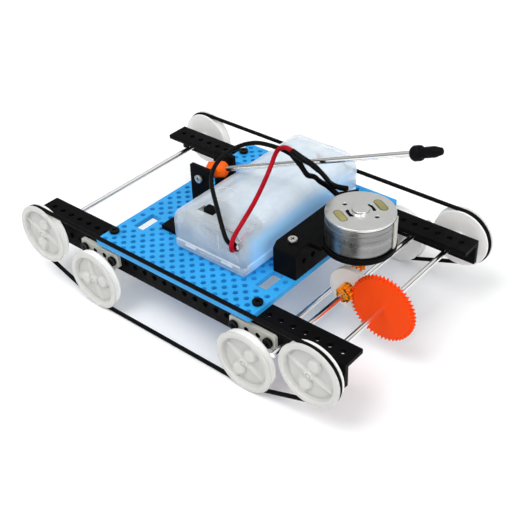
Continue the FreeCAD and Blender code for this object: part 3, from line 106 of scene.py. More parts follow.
class Finish:
    """A Principled material with a small set of procedural layers, in object coordinates."""

    def __init__(self, name, **sockets):
        """Sockets are values for the shader's own inputs, with underscores for spaces."""
        self.material = bpy.data.materials.new(name)
        self.material.use_nodes = True
        self.nodes = self.material.node_tree.nodes
        self.link = self.material.node_tree.links.new
        self.shader = self.nodes["Principled BSDF"]
        self.place = self.nodes.new("ShaderNodeTexCoord").outputs["Object"]
        self.normal = None
        for socket, value in sockets.items():
            self.shader.inputs[socket.replace("_", " ")].default_value = value

    def stretched(self, scale):
        """The place, scaled along each axis; a small share draws a pattern out along that axis."""
        mapping = self.nodes.new("ShaderNodeMapping")
        mapping.inputs["Scale"].default_value = scale
        self.link(self.place, mapping.inputs["Vector"])
        return mapping.outputs["Vector"]

    def axes(self):
        """The X, Y and Z of the place, in metres."""
        parts = self.nodes.new("ShaderNodeSeparateXYZ")
        self.link(self.place, parts.inputs["Vector"])
        return parts.outputs

    def noise(self, size, detail=3.0, rough=0.55, place=None):
        """Noise whose blobs are about size millimetres across."""
        noise = self.nodes.new("ShaderNodeTexNoise")
        noise.inputs["Scale"].default_value = 1 / (size * MM)
        noise.inputs["Detail"].default_value = detail
        noise.inputs["Roughness"].default_value = rough
        self.link(place or self.place, noise.inputs["Vector"])
        return noise.outputs["Fac"]

    def spread(self, factor, low, high):
        """Map a noise's usual range to a range of values."""
        ranged = self.nodes.new("ShaderNodeMapRange")
        sockets = ("From Min", "From Max", "To Min", "To Max")
        for socket, value in zip(sockets, (*NOISE_RANGE, low, high)):
            ranged.inputs[socket].default_value = value
        self.link(factor, ranged.inputs["Value"])
        return ranged.outputs["Result"]

    def between(self, value, start, end):
        """0 at start and 1 at end, clamped."""
        ranged = self.nodes.new("ShaderNodeMapRange")
        ranged.inputs["From Min"].default_value = start
        ranged.inputs["From Max"].default_value = end
        self.link(value, ranged.inputs["Value"])
        return ranged.outputs["Result"]

    def combine(self, operation, first, second):
        """A clamped calculation with two values, each a number or a node's output."""
        node = self.nodes.new("ShaderNodeMath")
        node.operation = operation
        node.use_clamp = True
        for socket, value in zip(node.inputs, (first, second)):
            if isinstance(value, float):
                socket.default_value = value
            else:
                self.link(value, socket)
        return node.outputs[0]

    def tint(self, factor, low, high):
        """Blend two colours by a factor and use the result as the base colour."""
        self.ramp(factor, zip(TINT_STOPS, (low, high)))

    def ramp(self, factor, stops):
        """Base colour through a ramp of (position, colour) stops."""
        ramp = self.nodes.new("ShaderNodeValToRGB")
        elements = ramp.color_ramp.elements
        for index, (position, colour) in enumerate(stops):
            element = elements[index] if index < len(elements) else elements.new(position)
            element.position = position
            element.color = (*colour, 1)
        self.link(factor, ramp.inputs["Fac"])
        self.link(ramp.outputs["Color"], self.shader.inputs["Base Color"])

    def gloss(self, factor, low, high):
        """Roughness between low and high."""
        self.link(self.spread(factor, low, high), self.shader.inputs["Roughness"])

    def bump(self, height, depth, strength=1.0):
        """Raise the surface by a height field, depth millimetres deep."""
        bump = self.nodes.new("ShaderNodeBump")
        bump.inputs["Strength"].default_value = strength
        bump.inputs["Distance"].default_value = depth * MM
        self.link(height, bump.inputs["Height"])
        if self.normal:
            self.link(self.normal, bump.inputs["Normal"])
        self.normal = bump.outputs["Normal"]
        self.link(self.normal, self.shader.inputs["Normal"])


def shade(colour, factor):
    """A colour made darker or lighter by a factor."""
    return tuple(min(1.0, channel * factor) for channel in colour)


def plastic(name, colour, rough, grain=0.35, depth=0.02, vary=0.06, **sockets):
    """Moulded plastic: a fine grain, slow changes of tone, and scuffs that break the gloss."""
    finish = Finish(name, **{"Specular_IOR_Level": 0.22, **sockets})
    finish.tint(finish.noise(14, 4), shade(colour, 1 - vary), shade(colour, 1 + vary))
    finish.gloss(finish.noise(3, 5, 0.7), rough * 0.8, rough * 1.25)
    finish.bump(finish.noise(grain, 2), depth)
    return finish.material


# Where the painted blue on the box's wall towards the motor begins and where it is full, in millimetres on
# each axis. The wall lies in shade, and its blue colour and glow are painted light standing in for the deck's
# blue light in the clear plastic.
PAINTED_BLUE_TOWARDS_MOTOR = (20.5, 22.9)
PAINTED_BLUE_LOW_DOWN = (46.5, 41)
PAINTED_BLUE_PAST_CORNER = (-29.5, -24)
PAINTED_BLUE_BEFORE_END = (50, 8)
PAINTED_BLUE_COLOUR = (0.33, 0.66, 0.98, 1)
PAINTED_BLUE_GLOW = (0.42, 0.70, 0.98, 1)
PAINTED_BLUE_GLOW_STRENGTH = 0.24
PAINTED_BLUE_CLOSING = 0.4
SLANT_CLOSING = 0.5


def clear_plastic(name, closed_low=0.17, closed_high=0.25, whiteness=1.0):
    """Clear polystyrene: mostly open face on, whiter at a slant, with streaks from the moulding. On the
    wall that stands towards the motor, which lies in shade, a blue colour and a blue glow are painted
    light in place of the deck's blue light, and the wall is made more opaque there."""
    finish = Finish(name, IOR=1.5)
    haze = finish.noise(16, 2, 0.5)
    streaks = finish.noise(4.5, 2, 0.5, finish.stretched((1, 1, 0.1)))
    finish.tint(streaks, shade((0.73, 0.82, 0.91), whiteness), shade((0.86, 0.92, 0.96), whiteness))
    finish.gloss(finish.noise(5, 4), 0.08, 0.2)
    axes = finish.axes()
    towards_motor, low_down, past_corner, before_end = (
        finish.between(axes[axis], start * MM, end * MM) for axis, (start, end) in
        (("X", PAINTED_BLUE_TOWARDS_MOTOR), ("Z", PAINTED_BLUE_LOW_DOWN), ("Y", PAINTED_BLUE_PAST_CORNER), ("Y", PAINTED_BLUE_BEFORE_END)))
    along_wall = finish.combine("MULTIPLY", past_corner, before_end)
    facing_motor = finish.combine("MULTIPLY", towards_motor, low_down)
    painted_blue_mask = finish.combine("MULTIPLY", facing_motor, along_wall)
    # Painted light: a blue base colour, a blue glow and extra opacity, placed by position on the shaded wall
    # towards the motor.
    painted_blue = finish.nodes.new("ShaderNodeMix")
    painted_blue.data_type = "RGBA"
    finish.link(painted_blue_mask, painted_blue.inputs["Factor"])
    finish.link(finish.shader.inputs["Base Color"].links[0].from_socket, painted_blue.inputs["A"])
    painted_blue.inputs["B"].default_value = PAINTED_BLUE_COLOUR
    finish.link(painted_blue.outputs["Result"], finish.shader.inputs["Base Color"])
    finish.shader.inputs["Emission Color"].default_value = PAINTED_BLUE_GLOW
    painted_glow = finish.combine("MULTIPLY", painted_blue_mask, PAINTED_BLUE_GLOW_STRENGTH)
    finish.link(painted_glow, finish.shader.inputs["Emission Strength"])
    facing = finish.nodes.new("ShaderNodeLayerWeight")
    facing.inputs["Blend"].default_value = 0.35
    slant = finish.combine("MULTIPLY", facing.outputs["Facing"], SLANT_CLOSING)
    closed_share = finish.combine("ADD", slant, finish.spread(haze, closed_low, closed_high))
    painted_blue_share = finish.combine("MULTIPLY", painted_blue_mask, PAINTED_BLUE_CLOSING)
    finish.link(finish.combine("ADD", closed_share, painted_blue_share), finish.shader.inputs["Alpha"])
    finish.bump(finish.noise(6, 2), 0.10, 0.5)
    finish.bump(finish.noise(0.5, 2), 0.008)
    return finish.material


def metal(name, colour, rough, along, depth=0.01, vary=0.05):
    """Drawn or turned metal: fine lines along one direction, and small smudges."""
    finish = Finish(name, Metallic=1.0)
    lines = finish.noise(0.25, 3, 0.6, finish.stretched(along))
    finish.tint(lines, shade(colour, 1 - vary), shade(colour, 1 + vary))
    finish.gloss(finish.noise(4, 5, 0.65), rough * 0.75, rough * 1.4)
    finish.bump(lines, depth, 0.6)
    return finish.material


def rubber(name, colour, rough, grain=0.25, depth=0.03):
    """Dull rubber or soft vinyl with a fine grain."""
    finish = Finish(name, Specular_IOR_Level=0.06)
    finish.tint(finish.noise(6, 5, 0.7), shade(colour, 0.8), shade(colour, 1.5))
    finish.gloss(finish.noise(2, 4), rough * 0.85, rough * 1.15)
    finish.bump(finish.noise(grain, 3), depth)
    return finish.material


SOFT_INSIDE = dict(Subsurface_Weight=0.35, Subsurface_Scale=0.002, Subsurface_Radius=(1.0, 0.9, 0.8))
# Painted shade: the tones darken the wheels' outer faces by depth, between the face and the web in
# millimetres from the middle, greying the recesses and darkening the grooves.
WHEEL_FACE = 49.7
WHEEL_WEB = 46.2
WHEEL_CLOUD = 0.12
RECESS_SHADE_TONES = ((0.12, 1.0), (0.42, 0.95), (0.66, 0.95), (0.86, 0.74))


def wheel_plastic(name, colour):
    """Milky plastic with painted shade: greyer where the wheels' faces are recessed and dark in the grooves
    there, by depth, over a random cloud of tone.
    """
    finish = Finish(name, Specular_IOR_Level=0.22, **SOFT_INSIDE)
    outwards = finish.nodes.new("ShaderNodeMath")
    outwards.operation = "ABSOLUTE"
    finish.link(finish.axes()["Y"], outwards.inputs[0])
    painted_recess_shade = finish.between(outwards.outputs[0], WHEEL_FACE * MM, WHEEL_WEB * MM)
    cloud = finish.combine("MULTIPLY", finish.spread(finish.noise(14, 4), 0.0, 1.0), WHEEL_CLOUD)
    tones = [(position, shade(colour, factor)) for position, factor in RECESS_SHADE_TONES]
    finish.ramp(finish.combine("SUBTRACT", painted_recess_shade, cloud), tones)
    finish.gloss(finish.noise(3, 5, 0.7), 0.30, 0.48)
    finish.bump(finish.noise(0.35, 2), 0.02)
    return finish.material


finishes = {
    "deck_blue": plastic("deck_blue", (0.030, 0.375, 0.82), 0.38, Subsurface_Weight=0.12,
                         Subsurface_Scale=0.001, Subsurface_Radius=(0.3, 0.6, 1.0)),
    "black_plastic": plastic("black_plastic", (0.0024, 0.0024, 0.0028), 0.5, vary=0.3, depth=0.03,
                             Specular_IOR_Level=0.05),
    "light_plastic": plastic("light_plastic", (0.58, 0.58, 0.53), 0.38, Specular_IOR_Level=0.3),
    "wheel_plastic": wheel_plastic("wheel_plastic", (0.60, 0.60, 0.58)),
    "clear_plastic": clear_plastic("clear_plastic"),
    "red_gear": plastic("red_gear", (1.0, 0.072, 0.002), 0.38, vary=0.04, Specular_IOR_Level=0.12,
                        Subsurface_Weight=0.2, Subsurface_Scale=0.0015,
                        Subsurface_Radius=(1.0, 0.25, 0.05)),
    "amber_gear": plastic("amber_gear", (0.90, 0.27, 0.010), 0.34, vary=0.08, Subsurface_Weight=0.4,
                          Subsurface_Scale=0.0015, Subsurface_Radius=(1.0, 0.5, 0.1)),
    # The crown gear's faint glow is painted light that lifts it where it sits in the motor's shade.
    "milky_gear": plastic("milky_gear", (0.88, 0.86, 0.82), 0.38, vary=0.04, Transmission_Weight=0.15,
                          Emission_Color=(1, 0.97, 0.93, 1), Emission_Strength=0.07, **SOFT_INSIDE),
    "bush_orange": plastic("bush_orange", (1.0, 0.12, 0.003), 0.34, vary=0.12, Specular_IOR_Level=0.15,
                           Subsurface_Weight=0.25, Subsurface_Scale=0.0012,
                           Subsurface_Radius=(1.0, 0.3, 0.05)),
    "steel": metal("steel", (0.88, 0.875, 0.86), 0.16, (1, 0.04, 1)),
    # The cap's can_steel is a lighter copy of the can's steel than the side's: painted light on the cap.
    "can_steel": metal("can_steel", (0.74, 0.745, 0.73), 0.33, (1, 1, 14), depth=0.001),
    "bright_screw": metal("bright_screw", (0.70, 0.68, 0.62), 0.36, (1, 1, 1)),
    "black_screw": metal("black_screw", (0.012, 0.012, 0.012), 0.35, (1, 1, 1), vary=0.3),
    "belt_rubber": rubber("belt_rubber", (0.0025, 0.0025, 0.003), 0.6),
    "muzzle_rubber": rubber("muzzle_rubber", (0.003, 0.003, 0.0035), 0.46),
    "lead_black": rubber("lead_black", (0.0028, 0.0028, 0.0032), 0.42, 0.6, 0.02),
    "lead_red": rubber("lead_red", (0.31, 0.003, 0.012), 0.36, 0.6, 0.02),
    "cell_wrap": plastic("cell_wrap", (0.80, 0.88, 0.95), 0.35),
    "contact": metal("contact", (0.72, 0.70, 0.66), 0.25, (1, 1, 1)),
    "copper": metal("copper", (0.78, 0.36, 0.16), 0.3, (1, 1, 8)),
    "bronze": metal("bronze", (0.66, 0.46, 0.22), 0.4, (1, 1, 1)),
    "ferrite": plastic("ferrite", (0.05, 0.05, 0.052), 0.6, depth=0.05),
}
for name, node in frame["nodes"].items():
    node.data.materials.clear()
    node.data.materials.append(finishes[slot_of_node[name]])
frame["nodes"]["switch_body"].data.materials[0] = plastic("switch_smoke", (0.26, 0.27, 0.28), 0.4)
shadow = plastic("bore_shadow", (0.010, 0.010, 0.009), 0.7, Specular_IOR_Level=0.0)


# ---------------------------------------------------------------- making pieces

def box_mm(node):
    """The low and high corners of a CAD node, in millimetres."""
    low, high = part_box(node)
    return low / MM, high / MM


def settle(piece, node, finish=None):
    """Let a new piece ride on its CAD node's body, stand for that node and take its finish."""
    piece.data.materials.append(finish or finishes[slot_of_node[node]])
    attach(piece, body_of_node[node])
    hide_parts(node)
    return piece


def add_detail(piece, node, finish):
    """Let a piece that stands for no node ride on a node's body."""
    piece.data.materials.append(finish)
    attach(piece, body_of_node[node])
    return piece


def piece_from(name, mesh, smooth_below=38, weighted=True):
    """Turn a bmesh into a piece that shades smoothly but for its sharp edges."""
    bmesh.ops.recalc_face_normals(mesh, faces=mesh.faces)
    data = bpy.data.meshes.new(name)
    mesh.to_mesh(data)
    mesh.free()
    data.shade_smooth()
    data.set_sharp_from_angle(angle=math.radians(smooth_below))
    piece = bpy.data.objects.new(name, data)
    scene.collection.objects.link(piece)
    if weighted:
        piece.modifiers.new("weighted", "WEIGHTED_NORMAL").keep_sharp = True
    return piece


WELD = 0.002
FLAT_DEGREES = 0.5
SHARP_DEGREES = 25


def welded_copy(node):
    """A copy of a CAD node's mesh with its points welded and its flat faces made whole."""
    mesh = bmesh.new()
    mesh.from_mesh(frame["nodes"][node].data)
    bmesh.ops.remove_doubles(mesh, verts=mesh.verts, dist=WELD * MM)
    bmesh.ops.dissolve_limit(mesh, angle_limit=math.radians(FLAT_DEGREES), verts=mesh.verts,
                             edges=mesh.edges)
    return mesh


def soften(mesh, edge):
    """Round the sharp edges of a mesh by edge millimetres."""
    corners = [corner for corner in mesh.edges
               if len(corner.link_faces) == 2 and corner.calc_face_angle(0) > math.radians(SHARP_DEGREES)]
    bmesh.ops.bevel(mesh, geom=corners, offset=edge * MM, segments=2, profile=0.5,
                    affect="EDGES", clamp_overlap=False)


def skin(node, edge, in_shadow=None, reshape=None):
    """A copy of a CAD node with its sharp edges rounded by edge millimetres. Before that, reshape
    may move its points. Faces for which in_shadow is true, such as those deep in a bore, turn dark."""
    mesh = welded_copy(node)
    if reshape:
        reshape(mesh)
    soften(mesh, edge)
    if in_shadow:
        for face in mesh.faces:
            if in_shadow(face.calc_center_median() / MM, face.normal):
                face.material_index = 1
    piece = settle(piece_from(node + "_skin", mesh, 50), node)
    if in_shadow:
        piece.data.materials.append(shadow)
    return piece


def rounded(corners, radius, steps=4):
    """Round the inner corners of a profile of (radius, height) points."""
    points = [Vector(corner) for corner in corners]
    result = [points[0]]
    for before, corner, after in zip(points, points[1:], points[2:]):
        back, on = before - corner, after - corner
        reach = min(radius, back.length * 0.45, on.length * 0.45)
        start, end = corner + back.normalized() * reach, corner + on.normalized() * reach
        for step in range(steps + 1):
            share = step / steps
            result.append(start.lerp(corner, share).lerp(corner.lerp(end, share), share))
    result.append(points[-1])
    return result


def turned(radius, angle, height):
    """A point at a polar place, in millimetres."""
    return Vector((radius * math.cos(angle), radius * math.sin(angle), height))


def join_rings(mesh, rings):
    """Faces between closed rings of equally many vertices; a ring may be one repeated vertex."""
    faces = []
    for lower, upper in zip(rings, rings[1:]):
        for side in range(len(lower)):
            following = (side + 1) % len(lower)
            loop = [lower[side], lower[following], upper[following], upper[side]]
            corners = [vert for index, vert in enumerate(loop) if vert not in loop[:index]]
            if len(corners) > 2:
                faces.append(mesh.faces.new(corners))
    return faces


def lathe(mesh, profile, matrix, sides):
    """Turn a profile of (radius, height) points, in millimetres, round the matrix's Z axis."""
    angles = [2 * math.pi * side / sides for side in range(sides)]
    rings = []
    for radius, height in profile:
        if radius < 1e-6:
            rings.append([mesh.verts.new(matrix @ (Vector((0, 0, height)) * MM))] * sides)
        else:
            rings.append([mesh.verts.new(matrix @ (turned(radius, angle, height) * MM)) for angle in angles])
    return join_rings(mesh, rings)


def block(mesh, low, high, edge):
    """A block with its edges rounded by edge millimetres."""
    verts = [mesh.verts.new(Vector((x, y, z)) * MM) for z in (low[2], high[2])
             for x, y in ((low[0], low[1]), (high[0], low[1]), (high[0], high[1]), (low[0], high[1]))]
    faces = [mesh.faces.new([verts[index] for index in loop]) for loop in
             ((3, 2, 1, 0), (4, 5, 6, 7), (0, 1, 5, 4), (1, 2, 6, 5), (2, 3, 7, 6), (3, 0, 4, 7))]
    lines = dict.fromkeys(line for face in faces for line in face.edges)
    bmesh.ops.bevel(mesh, geom=list(lines), offset=edge * MM, segments=3, profile=0.5, affect="EDGES",
                    clamp_overlap=True)


# ---------------------------------------------------------------- plates, rails, brackets, screws

EDGE_ROUNDS = {
    "rail_right": 0.3, "rail_left": 0.3, "black_screws": 0.08, "nuts": 0.1, "gun_base": 0.3,
    "gun_bracket": 0.25, "motor_holder": 0.3, "terminal_block": 0.3, "lay_pinion": 0.05,
    "motor_pinion": 0.05, "drive_gear": 0.08, "crown_gear": 0.06,
}
for node, edge in EDGE_ROUNDS.items():
    skin(node, edge)

STRIP_HALF = 10
STRIP_RISE = 3
STRIP_CORNER = 0.7
STRIP_ROUND = 2
STRIP_HOLE = 1.3
HOLE_STEP = 5
NEARLY = 0.05


def hanger(node):
    """A hanger whose strip has nearly square ends, with its empty holes in shadow."""
    low, high = box_mm(node)
    along = (low.x + high.x) / 2
    height = high.z - STRIP_RISE

    def squared(mesh):
        """Draw the strip's round corners out until they are nearly square."""
        for vert in mesh.verts:
            x, z = vert.co.x / MM - along, vert.co.z / MM - height
            if abs(abs(x) - STRIP_HALF) < NEARLY and abs(z) < STRIP_RISE:
                vert.co.z = (height + math.copysign(STRIP_RISE - STRIP_CORNER, z)) * MM
            elif abs(abs(z) - STRIP_RISE) < NEARLY and STRIP_HALF - STRIP_ROUND < abs(x) < STRIP_HALF:
                vert.co.x = (along + math.copysign(STRIP_HALF - STRIP_CORNER, x)) * MM

    def bore(spot, normal):
        """True for the walls of the strip's two empty holes."""
        across = min(abs(spot.x - along - HOLE_STEP * step) for step in (-0.5, 0.5))
        return abs(normal.y) < 0.3 and abs(spot.z - height) < STRIP_HOLE and across < STRIP_HOLE

    skin(node, 0.12, bore, squared)


for end in ("rear", "front"):
    for side in ("right", "left"):
        hanger(f"hanger_{end}_{side}")


def islands(mesh):
    """The low and high corners, in millimetres, and the vertices of each loose part."""
    left = set(mesh.verts)
    while left:
        island, waiting = set(), [left.pop()]
        while waiting:
            vert = waiting.pop()
            island.add(vert)
            following = {line.other_vert(vert) for line in vert.link_edges} & left
            left -= following
            waiting += following
        low, high = (Vector(pick(vert.co[axis] for vert in island) for axis in range(3)) / MM
                     for pick in (min, max))
        yield low, high, island


SCREW_HEAD = 1.3
HEAD_SHARE = 0.86
CROSS_REACH = 1.3
CROSS_DEPTHS = (0.12, 1.0)


def deep_in_cross(aside, depth):
    """True for a place in a screw's cross, by its distances from the head's axis and top."""
    return aside < CROSS_REACH and CROSS_DEPTHS[0] < depth < CROSS_DEPTHS[1]


def bright_screws():
    """The bright pan heads, with the cross of each in shadow."""
    tops = []

    def smaller_heads(mesh):
        """Note each screw's top, and draw its head in towards its axis."""
        for low, high, island in list(islands(mesh)):
            top = Vector(((low.x + high.x) / 2, (low.y + high.y) / 2, high.z))
            tops.append(top)
            for vert in island:
                if vert.co.z > (top.z - SCREW_HEAD - NEARLY) * MM:
                    for axis in (0, 1):
                        vert.co[axis] = (top[axis] + (vert.co[axis] / MM - top[axis]) * HEAD_SHARE) * MM

    def in_cross(spot, normal):
        """True for a face deep in any screw's cross."""
        return any(deep_in_cross((spot - top).xy.length, top.z - spot.z) for top in tops)

    skin("bright_screws", 0.06, in_cross, smaller_heads)


def gun_pivot_screw():
    """The screw that the gun turns on, with its cross in shadow."""
    low, high = box_mm("gun_pivot_screw")
    middle = (low + high) / 2

    def in_cross(spot, normal):
        """True for a face deep in the screw's cross."""
        return deep_in_cross((spot - middle).xz.length, spot.y - low.y)

    skin("gun_pivot_screw", 0.08, in_cross)


bright_screws()
gun_pivot_screw()


# ---------------------------------------------------------------- battery box

# Painted highlight: a paler, more opaque copy of the clear plastic for the walls' rims and the box's fine
# relief, so their edges read as bright lines.
clear_edge_highlight = clear_plastic("clear_edge_highlight", 0.5, 0.66, 1.05)
CORNER = 1.75
LID_ROUND = 7
LEAD_HOLE = 2.05
LEAD_HOLE_SIDES = 28
LEAD_HOLE_ASIDE = 3.85
LEAD_HOLE_RISE = 8.1
SLOT_RUN = 2.9
SLOT_PLAY = 0.4
TRAY_ROUND = 1.9
WALL = 1.0
PROUD = 0.3


def shell(low, high, corner_round, foot, top, breaks=()):
    """The rings of an open shell of U shape, foot to top to foot, whose two ends close in."""
    mesh = bmesh.new()
    upward = math.copysign(1, top - foot)
    stops = [(low.y + CORNER * (1 - math.sin(turn)), CORNER * (1 - math.cos(turn)))
             for turn in [math.radians(15 * step) for step in range(6, -1, -1)]]
    stops += [(y, 0) for y in breaks] + [(low.y + high.y - y, inset) for y, inset in reversed(stops)]
    rings = []
    for y, inset in stops:
        arc = corner_round - inset
        half = [(low.x + inset, foot)] + [
            (low.x + corner_round - arc * math.cos(math.radians(turn)),
             top - upward * (corner_round - arc * math.sin(math.radians(turn)))) for turn in range(0, 91, 10)]
        spots = half + [(low.x + high.x - x, z) for x, z in reversed(half)]
        rings.append([mesh.verts.new(Vector((x, y, z)) * MM) for x, z in spots])
    for near, far in zip(rings, rings[1:]):
        for index in range(len(near) - 1):
            mesh.faces.new((near[index], near[index + 1], far[index + 1], far[index]))
    return mesh, rings


def close_end(mesh, ring, hole=()):
    """Close one end of a shell, round a hole where there is one."""
    outline = [mesh.edges.get((a, b)) for a, b in zip(ring, ring[1:])]
    outline.append(mesh.edges.new((ring[-1], ring[0])))
    outline += [mesh.edges.new((a, b)) for a, b in zip(hole, list(hole[1:]) + list(hole[:1]))]
    bmesh.ops.triangle_fill(mesh, use_beauty=True, edges=outline)


def walled(name, mesh, node):
    """A piece of a battery box shell, with a wall's thickness and rims in the paler clear plastic, a painted
    highlight.
    """
    piece = piece_from(name, mesh, 40, weighted=False)
    wall = piece.modifiers.new("wall", "SOLIDIFY")
    wall.thickness = WALL * MM
    wall.offset = -1
    wall.material_offset_rim = 1
    settle(piece, node)
    piece.data.materials.append(clear_edge_highlight)


def lead_exit():
    """The middle of the leads' hole, in the lid's near end, in millimetres."""
    low, high = box_mm("battery_lid")
    return Vector((high.x - LEAD_HOLE_ASIDE, low.y, low.z + LEAD_HOLE_RISE))


def battery_lid():
    """The lid: a soft-cornered shell with the leads' hole; its slot is cut by the switch's size."""
    low, high = box_mm("battery_lid")
    knob_low, knob_high = box_mm("switch_knob")
    slot = (knob_low.x - SLOT_RUN, knob_low.y - SLOT_PLAY,
            knob_high.x + SLOT_PLAY, knob_high.y + SLOT_PLAY)
    mesh, rings = shell(low, high, LID_ROUND, low.z, high.z, (slot[1], slot[3]))
    turns = [2 * math.pi * step / LEAD_HOLE_SIDES for step in range(LEAD_HOLE_SIDES)]
    hole = [mesh.verts.new((lead_exit() + Vector((math.cos(turn), 0, math.sin(turn))) * LEAD_HOLE) * MM)
            for turn in turns]
    close_end(mesh, rings[0], hole)
    close_end(mesh, rings[-1])
    bmesh.ops.recalc_face_normals(mesh, faces=mesh.faces)

    def slot_band():
        """The faces of the lid's flat top between the slot's two long sides."""
        return [face for face in mesh.faces
                if all(vert.co.z > (high.z - 0.01) * MM for vert in face.verts)
                and slot[1] * MM < face.calc_center_median().y < slot[3] * MM]

    for x in (slot[0], slot[2]):
        band = slot_band()
        geometry = dict.fromkeys(part for face in band for part in (face, *face.edges, *face.verts))
        bmesh.ops.bisect_plane(mesh, geom=list(geometry), plane_co=(x * MM, 0, 0), plane_no=(1, 0, 0))
    opening = [face for face in slot_band()
               if slot[0] * MM < face.calc_center_median().x < slot[2] * MM]
    bmesh.ops.delete(mesh, geom=opening, context="FACES")
    walled("lid_shell", mesh, "battery_lid")


def battery_tray():
    """The tray, with the partition that the near contacts lean on."""
    low, high = box_mm("battery_tray")
    seam = box_mm("battery_lid")[0].z
    mesh, rings = shell(low, high, TRAY_ROUND, seam, low.z)
    close_end(mesh, rings[0])
    close_end(mesh, rings[-1])
    bmesh.ops.recalc_face_normals(mesh, faces=mesh.faces)
    walled("tray_shell", mesh, "battery_tray")
    mesh = bmesh.new()
    partition = box_mm("contact_plates")[0].y + 2.8
    block(mesh, (low.x + 1.2, partition - 1.2, low.z + 1.1), (high.x - 1.2, partition, high.z), 0.2)
    piece = add_detail(piece_from("tray_partition", mesh), "battery_tray", finishes["clear_plastic"])


def box_lip():
    """The box's fine relief: two ribs round its seam with the snap tabs under them, the ribs in its
    near end and across its far end, and the round mark of a moulding pin on its top."""
    low, high = box_mm("battery_lid")
    seam = low.z
    mesh = bmesh.new()
    for bottom in (seam + 0.1, seam - 0.3):
        for x0, y0, x1, y1 in ((low.x + CORNER, low.y - PROUD, high.x - CORNER, low.y + 0.1),
                               (low.x + CORNER, high.y - 0.1, high.x - CORNER, high.y + PROUD),
                               (low.x - PROUD, low.y + CORNER, low.x + 0.1, high.y - CORNER),
                               (high.x - 0.1, low.y + CORNER, high.x + PROUD, high.y - CORNER)):
            block(mesh, (x0, y0, bottom), (x1, y1, bottom + 0.22), 0.08)
    for start, end in ((5.8, 11.0), (23.2, 28.2)):
        for y0, y1 in ((low.y - 0.4, low.y + 0.1), (high.y - 0.1, high.y + 0.4)):
            block(mesh, (low.x + start, y0, seam - 1.5), (low.x + end, y1, seam - 0.6), 0.15)
    for x in (low.x + 2.0, low.x + 11.3, high.x - 12.5):
        block(mesh, (x, low.y + 0.9, seam), (x + 0.35, low.y + 1.5, high.z - 5), 0.1)
    for y in (high.y - 1.2, high.y - 3.4):
        block(mesh, (low.x + 5, y, high.z - 0.1), (high.x - 5, y + 0.25, high.z + 0.12), 0.08)
    pin_mark = Matrix.Translation(Vector((low.x + 10.8, low.y + 16.6, high.z)) * MM)
    ridge = [(4.1, -0.05), (4.12, 0.07), (4.2, 0.1), (4.28, 0.07), (4.3, -0.05), (4.1, -0.05)]
    lathe(mesh, ridge, pin_mark, 64)
    # The relief takes the paler clear plastic, a painted highlight along its edges.
    piece = add_detail(piece_from("box_lip", mesh), "battery_lid", clear_edge_highlight)


def lead_hole_shade():
    """A dark cup behind the leads' hole: painted shade for the hole's inside."""
    start = lead_exit() + Vector((0, 0.25, 0))
    place = Matrix.Translation(start * MM) @ Matrix.Rotation(math.radians(-90), 4, "X")
    cup = [(0, 1.75), (1.9, 1.75), (1.9, 0.0), (2.03, 0.0), (2.03, 1.9), (0, 1.9)]
    mesh = bmesh.new()
    lathe(mesh, rounded(cup, 0.1, 2), place, 32)
    add_detail(piece_from("lead_hole_shade", mesh), "battery_lid",
               plastic("lead_hole_shade_brown", (0.045, 0.012, 0.010), 0.5, Specular_IOR_Level=0.1))


battery_lid()
lead_hole_shade()
battery_tray()
box_lip()


# ---------------------------------------------------------------- wheels

# Radii and depths below the outer face's plane, in millimetres.
RIM_EDGE = 0.8
RECESS = 1.95
SIDES = 120
WHEEL_BACK = rounded([
    (12.25, RIM_EDGE), (12.2, 0.95), (10.35, 1.4), (10.35, 2.6), (11.65, 3.3), (11.65, 4.0),
    (9.0, 4.0), (2.6, 3.9), (2.6, 5.2), (1.02, 5.2), (1.02, 0.75), (0, 0.7)], 0.2, 2)
AXLE_RADII = [0.4, 0.8, 1.05]
WEB_RADII = [0.35 * step for step in range(4, 26)]
RIM_RADII = [8.95, 9.1, 9.25, 9.4, 9.55, 9.7, 9.85, 10.0, 10.2, 10.5, 10.8, 11.1, 11.5, 11.8, 12.0, 12.15]
RIM_RADIUS = 12.25
RIM_WELD = 0.0001
RIM_FALL_START = 11.1
RIM_FALL_REACH = 1.15
RIM_FALL = 0.6


def rise(value, low, high):
    """A smooth step from 0 at low to 1 at high."""
    share = min(1.0, max(0.0, (value - low) / (high - low)))
    return share * share * (3 - 2 * share)


def soft_least(depths, blend=0.22):
    """The least of some depths, with soft passages between them."""
    least = min(depths)
    return least - blend * math.log(sum(math.exp((least - depth) / blend) for depth in depths))


def face_depth(radius, angle):
    """How far the wheel's outer face lies below its plane, in millimetres, at a polar place. The
    ribs run along y, the low ribs and the two bosses lie along x."""
    x, y = radius * math.cos(angle), radius * math.sin(angle)
    web = RECESS + 0.35
    groove = web + 0.6 * rise(radius, 8.8, 9.25)
    rim = groove - (groove - 0.2) * rise(radius, 9.4, 10.1)
    rib = groove - (groove - web + 1.35) * (1 - rise(abs(x), 0.5, 1.7)) * (1 - 0.25 * rise(radius, 4, 9))
    low_rib = groove - (groove - web + 1.1) * (1 - rise(abs(y), 0.9, 2.2)) * rise(radius, 5.5, 7.5)
    boss = web - 1.75 * (1 - rise(math.hypot(abs(x) - 4.9, y), 1.9, 3.0))
    hub = web - 1.95 * (1 - rise(radius, 1.25, 2.6))
    fallen = max(0.0, radius - RIM_FALL_START) / RIM_FALL_REACH
    edge = RIM_FALL * (1 - math.sqrt(max(0.0, 1 - fallen ** 2)))
    return max(0.0, soft_least((rim, rib, low_rib, boss, hub))) + edge


